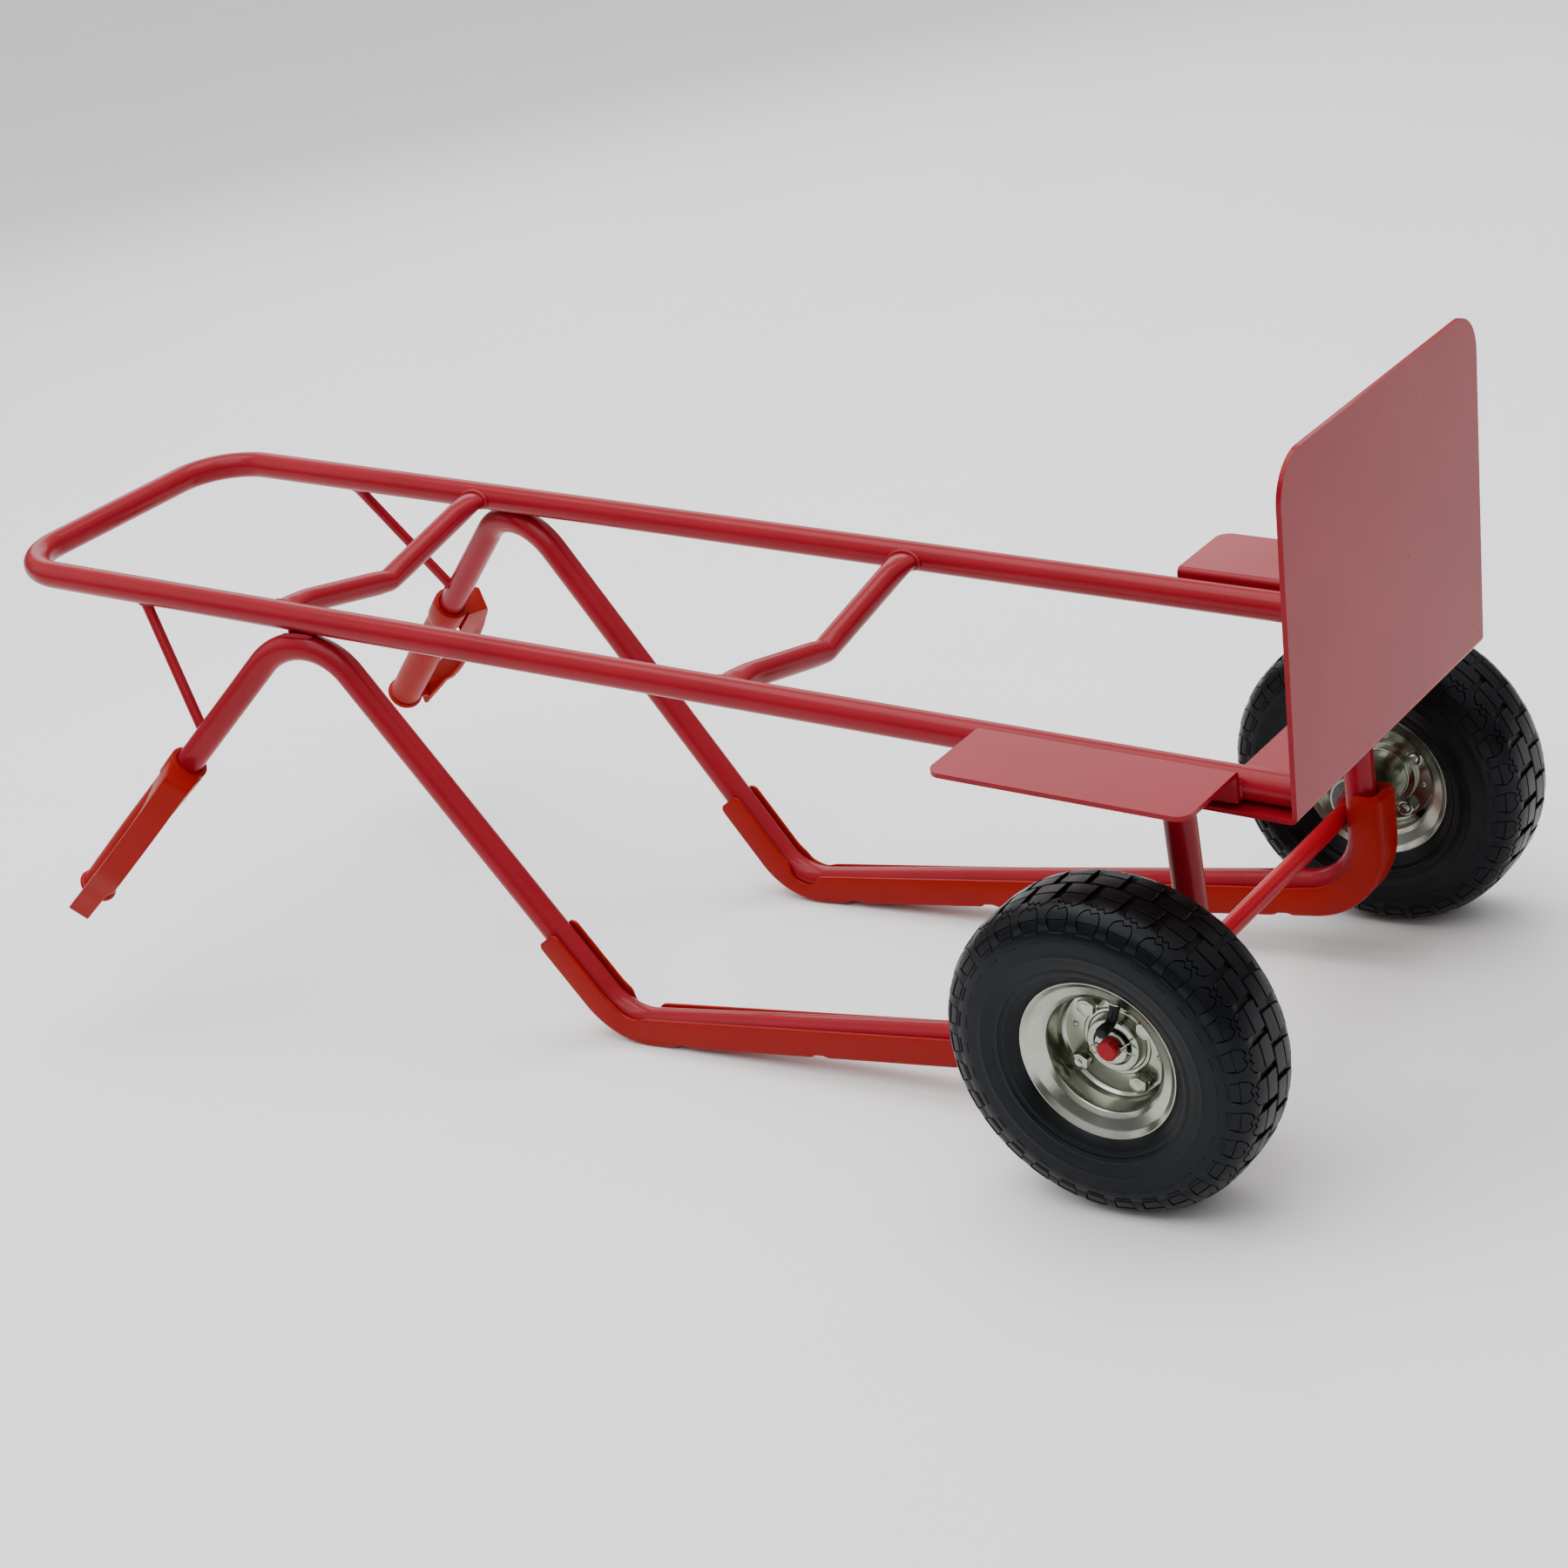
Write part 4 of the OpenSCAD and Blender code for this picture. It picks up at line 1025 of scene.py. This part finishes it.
def make_rim(side, name, zinc):
    outer = name == "outer_rim"
    width = RIM_HALF - SPLIT_Z if outer else RIM_HALF + SPLIT_Z
    shape = lathe(rim_outline(width), 160)
    # Two pressed pips beside the bolts
    pip_r, pip_circle_r = 2.6, 35
    dome = [(pip_r * cos(pi / 12 * i), DISC - 0.3 + 1.5 * sin(pi / 12 * i)) for i in range(7)]
    pip = lathe([(0.01, DISC - 1), (pip_r, DISC - 1)] + dome, 20, closed=False)
    for angle in (11, -169):
        shape.merge(pip, Matrix.Translation(polar(pip_circle_r, radians(angle), 0)))
    flip = Matrix.Diagonal((1, 1, 1 if outer else -1, 1))
    matrix = ON_WHEEL[side] @ Matrix.Translation((0, 0, SPLIT_Z)) @ flip
    finished(f"{side}_{name}_pressed", shape, matrix, zinc, 40, side + "_wheel", "zinc", f"{side}_{name}")


def make_hub(side, zinc):
    """Rolled barrel with a lip outboard, a fixing ring against the inner disc and crimp marks."""
    lip = 15.5
    outline = filleted([
        (HUB_R, HUB_IN, 0.8), (HUB_R, -14, 0), (HUB_R, -11.5, 2.4), (29, -11.2, 0.8), (29, SPLIT_Z - DISC, 0),
        (HUB_R, SPLIT_Z - DISC, 0), (HUB_R, HUB_OUT, 2.0), (lip, HUB_OUT, 0.8), (lip, HUB_OUT - 2, 0.3),
        (RACE_R, HUB_OUT - 2, 0), (RACE_R, HUB_IN, 0.5)])
    shape = lathe(outline, 96)
    bead = filleted([(HUB_R - 0.3, -58, 0), (HUB_R + 0.8, -57.2, 0.6), (HUB_R + 0.8, -55.4, 0.6),
                     (HUB_R - 0.3, -54.6, 0)])
    shape.merge(lathe(bead, 96))
    finished(side + "_hub_barrel_rolled", shape, ON_WHEEL[side], zinc, 40,
             side + "_wheel", "zinc", side + "_hub_barrel")


def hexagon(height, turned, bore=0.0):
    """Bolt head, or a nut if it has a bore, with the turned chamfers that round its corners: a head
    has one on top, a nut has both."""
    apothem = 13 / 2
    inner = apothem * 0.94
    angles = turns(60)
    corners = [apothem / cos((angle + pi / 6) % (pi / 3) - pi / 6) for angle in angles]
    drops = [(r - inner) * 0.5 for r in corners]

    def row(radii, heights):
        return [polar(r, angle + turned, z) for r, angle, z in zip(radii, angles, heights)]

    def circle(radius, z):
        return row([radius] * len(angles), [z] * len(angles))

    if bore:
        rows = [circle(inner, 0), row(corners, drops)]
    else:
        rows = [row(corners, [z] * len(angles)) for z in (0, 0.01)]
    rows += [row(corners, [height - drop for drop in drops]), circle(inner, height)]
    if bore:
        wide = bore + 0.6
        rows += [circle(wide, height), circle(bore, height - 0.6), circle(bore, 0.6), circle(wide, 0)]
    return skin(rows, looped=bool(bore))


def threaded_rod(radius, low, high, pitch=1.25):
    """Rod with thread ridges over its whole length and a chamfered tip at the low end."""
    profile = [(0.01, low), (radius - 0.9, low), (radius - 0.2, low + 0.8)]
    z = low + 0.8
    while z + pitch < high:
        profile += [(radius - 0.62, z + 0.35 * pitch), (radius, z + 0.75 * pitch), (radius, z + 0.9 * pitch)]
        z += pitch
    profile += [(radius, high), (0.01, high)]
    return lathe(profile, 32, closed=False)


def make_fasteners(side, zinc):
    """Four bolts per wheel with their heads outboard on thin nuts, and nuts inboard on the studs."""
    face, back = SPLIT_Z + DISC, SPLIT_Z - DISC
    thin, head, nut, stud = 5, 5.3, 6.5, 4
    bolt_r, bore = 4, 4.05
    bolts, nuts = Shape(), Shape()
    draw = random.Random(7 if side == "left" else 8)
    # The pressed dish on top of a bolt's head
    dish = [(0.01, 0.1), (2.4, 0.1), (3.0, 0.3), (4.0, 0.3), (4.5, 0.06), (4.5, -0.5), (0.01, -0.5)]
    for k in range(4):
        x, y = polar(BOLT_CIRCLE_R, radians(-BOLT_ANGLE - 90 * k))

        def at(z):
            return Matrix.Translation((x, y, z))

        spin = draw.uniform(0, pi / 3)
        bolts.merge(hexagon(head, spin), at(face + thin))
        bolts.merge(lathe(dish, 32, closed=False), at(face + thin + head))
        bolts.merge(threaded_rod(bolt_r, back - nut - stud, face + thin), at(0))
        nuts.merge(hexagon(thin, spin + 0.3, bore), at(face))
        nuts.merge(hexagon(nut, draw.uniform(0, 1), bore), at(back - nut))
    for shape, name in ((bolts, "rim_bolts"), (nuts, "rim_nuts")):
        finished(f"{side}_{name}_threaded", shape, ON_WHEEL[side], zinc, 35,
                 side + "_wheel", "zinc", f"{side}_{name}")


def make_valve(side, rubber, zinc):
    """Bent rubber valve: a metal collar at the rim wall, an elbow towards outboard and a fluted cap."""
    wheel = side + "_wheel"
    z, reach, tip = 15, 27, 24
    matrix = ON_WHEEL[side] @ Matrix.Rotation(radians(-76), 4, "Z")
    path = bent_path([Vector((64, 0, z)), Vector((reach, 0, z)), Vector((reach, 0, tip))], [0, 6, 0], 8, 3)
    sections = []
    for point in path:
        fat = 4.0 + (0.5 if 40 < point.x < 46.6 else 0) - (0.3 if 33 < point.x < 39 else 0)
        sections.append(ring(fat, 28))
    finished(side + "_valve_stem_moulded", sweep(path, sections, ACROSS), matrix, rubber, 40,
             wheel, "rubber", side + "_valve_stem")
    rows = []
    outline = (4.3, 0, 0), (4.75, 0.5, 0.32), (4.75, 7.4, 0.32), (4.1, 8.6, 0), (2.6, 9.0, 0)
    for radius, height, flute in outline:
        rows.append([polar(radius - flute * max(0.0, cos(12 * angle)), angle, height) for angle in turns(60)])
    finished(side + "_valve_cap_fluted", skin(rows), matrix @ Matrix.Translation((reach, 0, tip)), rubber, 35,
             wheel, "rubber", side + "_valve_cap")
    outline = filleted([(4.0, 0, 0.2), (6.4, 0, 0.5), (6.4, 1.2, 0.5), (5.2, 2.0, 0.3), (4.0, 2.0, 0.2)])
    seat = Matrix.Translation((47.3, 0, z)) @ Matrix.Rotation(radians(-90), 4, "Y")
    finished(side + "_valve_collar", lathe(outline, 40), matrix @ seat, zinc, 35, wheel, "zinc")


def make_axle_end(side, paint, zinc):
    """Washer, stop collar and split pin at one end of the axle."""
    bore = AXLE_R + 0.05
    washer_at, washer, collar = HUB_OUT + 0.6, 2.5, 9
    shape = lathe(filleted([(bore, 0, 0.2), (13.5, 0, 0.5), (13.5, washer, 0.7), (bore, washer, 0.4)]), 72)
    place = ON_WHEEL[side] @ Matrix.Translation((0, 0, washer_at))
    finished(side + "_axle_washer_stamped", shape, place, zinc, 35, "frame", "zinc", side + "_axle_washer")
    shape = lathe(filleted([(bore, 0, 0.3), (12, 0, 0.9), (12, collar, 0.9), (bore, collar, 0.3)]), 72)
    place = ON_WHEEL[side] @ Matrix.Translation((0, 0, HUB_IN - 10))
    finished(side + "_stop_collar_painted", shape, place, paint, 35, "frame", "paint", side + "_stop_collar")
    # Both wires of the pin: a bent leg, the straight through the axle and half of the eye
    pin = Shape()
    wire, half, eye, leg, bend = 0.75, AXLE_R + 2, 3.2, 11, radians(24)
    for sign in (1, -1):
        middle = Vector((0, sign * wire, 0))
        start = middle + half * AHEAD
        tip = Vector((leg * cos(bend), sign * leg * sin(bend), 0))
        line = [start + tip, start + tip * 0.5, start, middle, middle - half * AHEAD]
        loop = [Vector((x - half, sign * y, 0)) for x, y in arc((-eye, 0), eye, 12, 180, 14)]
        fine = catmull_rom([*line, *loop], 12)
        path = resampled(fine, distances(fine)[-1] / 70)
        pin.merge(sweep(path, [ring(wire, 14)] * len(path), UP))
    spin = Matrix.Translation((0, 0, washer_at + washer + 1.9)) @ Matrix.Rotation(radians(-13), 4, "Z")
    finished(side + "_split_pin_wire", pin, ON_WHEEL[side] @ spin, zinc, 50,
             "frame", "zinc", side + "_split_pin")


def finish_cad_nodes(looks):
    """The CAD nodes that stay: bearings and inner tubes, with their procedural materials."""
    for name, node in frame["nodes"].items():
        for ending, material in looks.items():
            if name.endswith(ending) and not node.hide_render:
                node.data.materials.clear()
                node.data.materials.append(material)
                for polygon in node.data.polygons:
                    polygon.material_index = 0


# ---------------------------------------------------------------- the object
make_camera()
make_studio()
paint = paint_material("red_enamel", (0.225, 0.0050, 0.0125), (0.262, 0.0070, 0.0160), 0.14)
# The axle's enamel is a lighter, more saturated copy of the frame's red enamel: painted light, standing for
# the light falling on the axle's ends
lit_axle_paint = paint_material("axle_enamel_with_painted_light", (0.300, 0.0035, 0.0110), (0.350, 0.0055, 0.0145), 0.10)
plastic = plastic_material()
zinc = zinc_material()
steel = steel_material()
tyre_rubber = rubber_material("tyre_rubber", (0.0016, 0.0017, 0.0022), (0.0040, 0.0041, 0.0050), 0.29, 0.40)
valve_rubber = rubber_material("valve_rubber", (0.004, 0.004, 0.0045), (0.009, 0.009, 0.010), 0.36, 0.50)

make_main_frame(paint)
make_cross_bars(paint)
make_toe_plate(paint)
make_axle(lit_axle_paint)
for side in ON_RAIL:
    make_side_tube(side, paint)
    make_handle_strut(side, paint)
    make_wheel_guard(side, paint)
    make_skid_cover(side, plastic)
    make_hand_grip(side, plastic)
    make_tyre(side, tyre_rubber)
    make_rim(side, "outer_rim", zinc)
    make_rim(side, "inner_rim", zinc)
    make_hub(side, zinc)
    make_fasteners(side, zinc)
    make_valve(side, valve_rubber, zinc)
    make_axle_end(side, paint, zinc)
finish_cad_nodes({
    "bearing_outer_races": steel, "bearing_balls": steel, "bearing_shields": steel,
    "bearing_inner_races": steel, "inner_tube": valve_rubber})
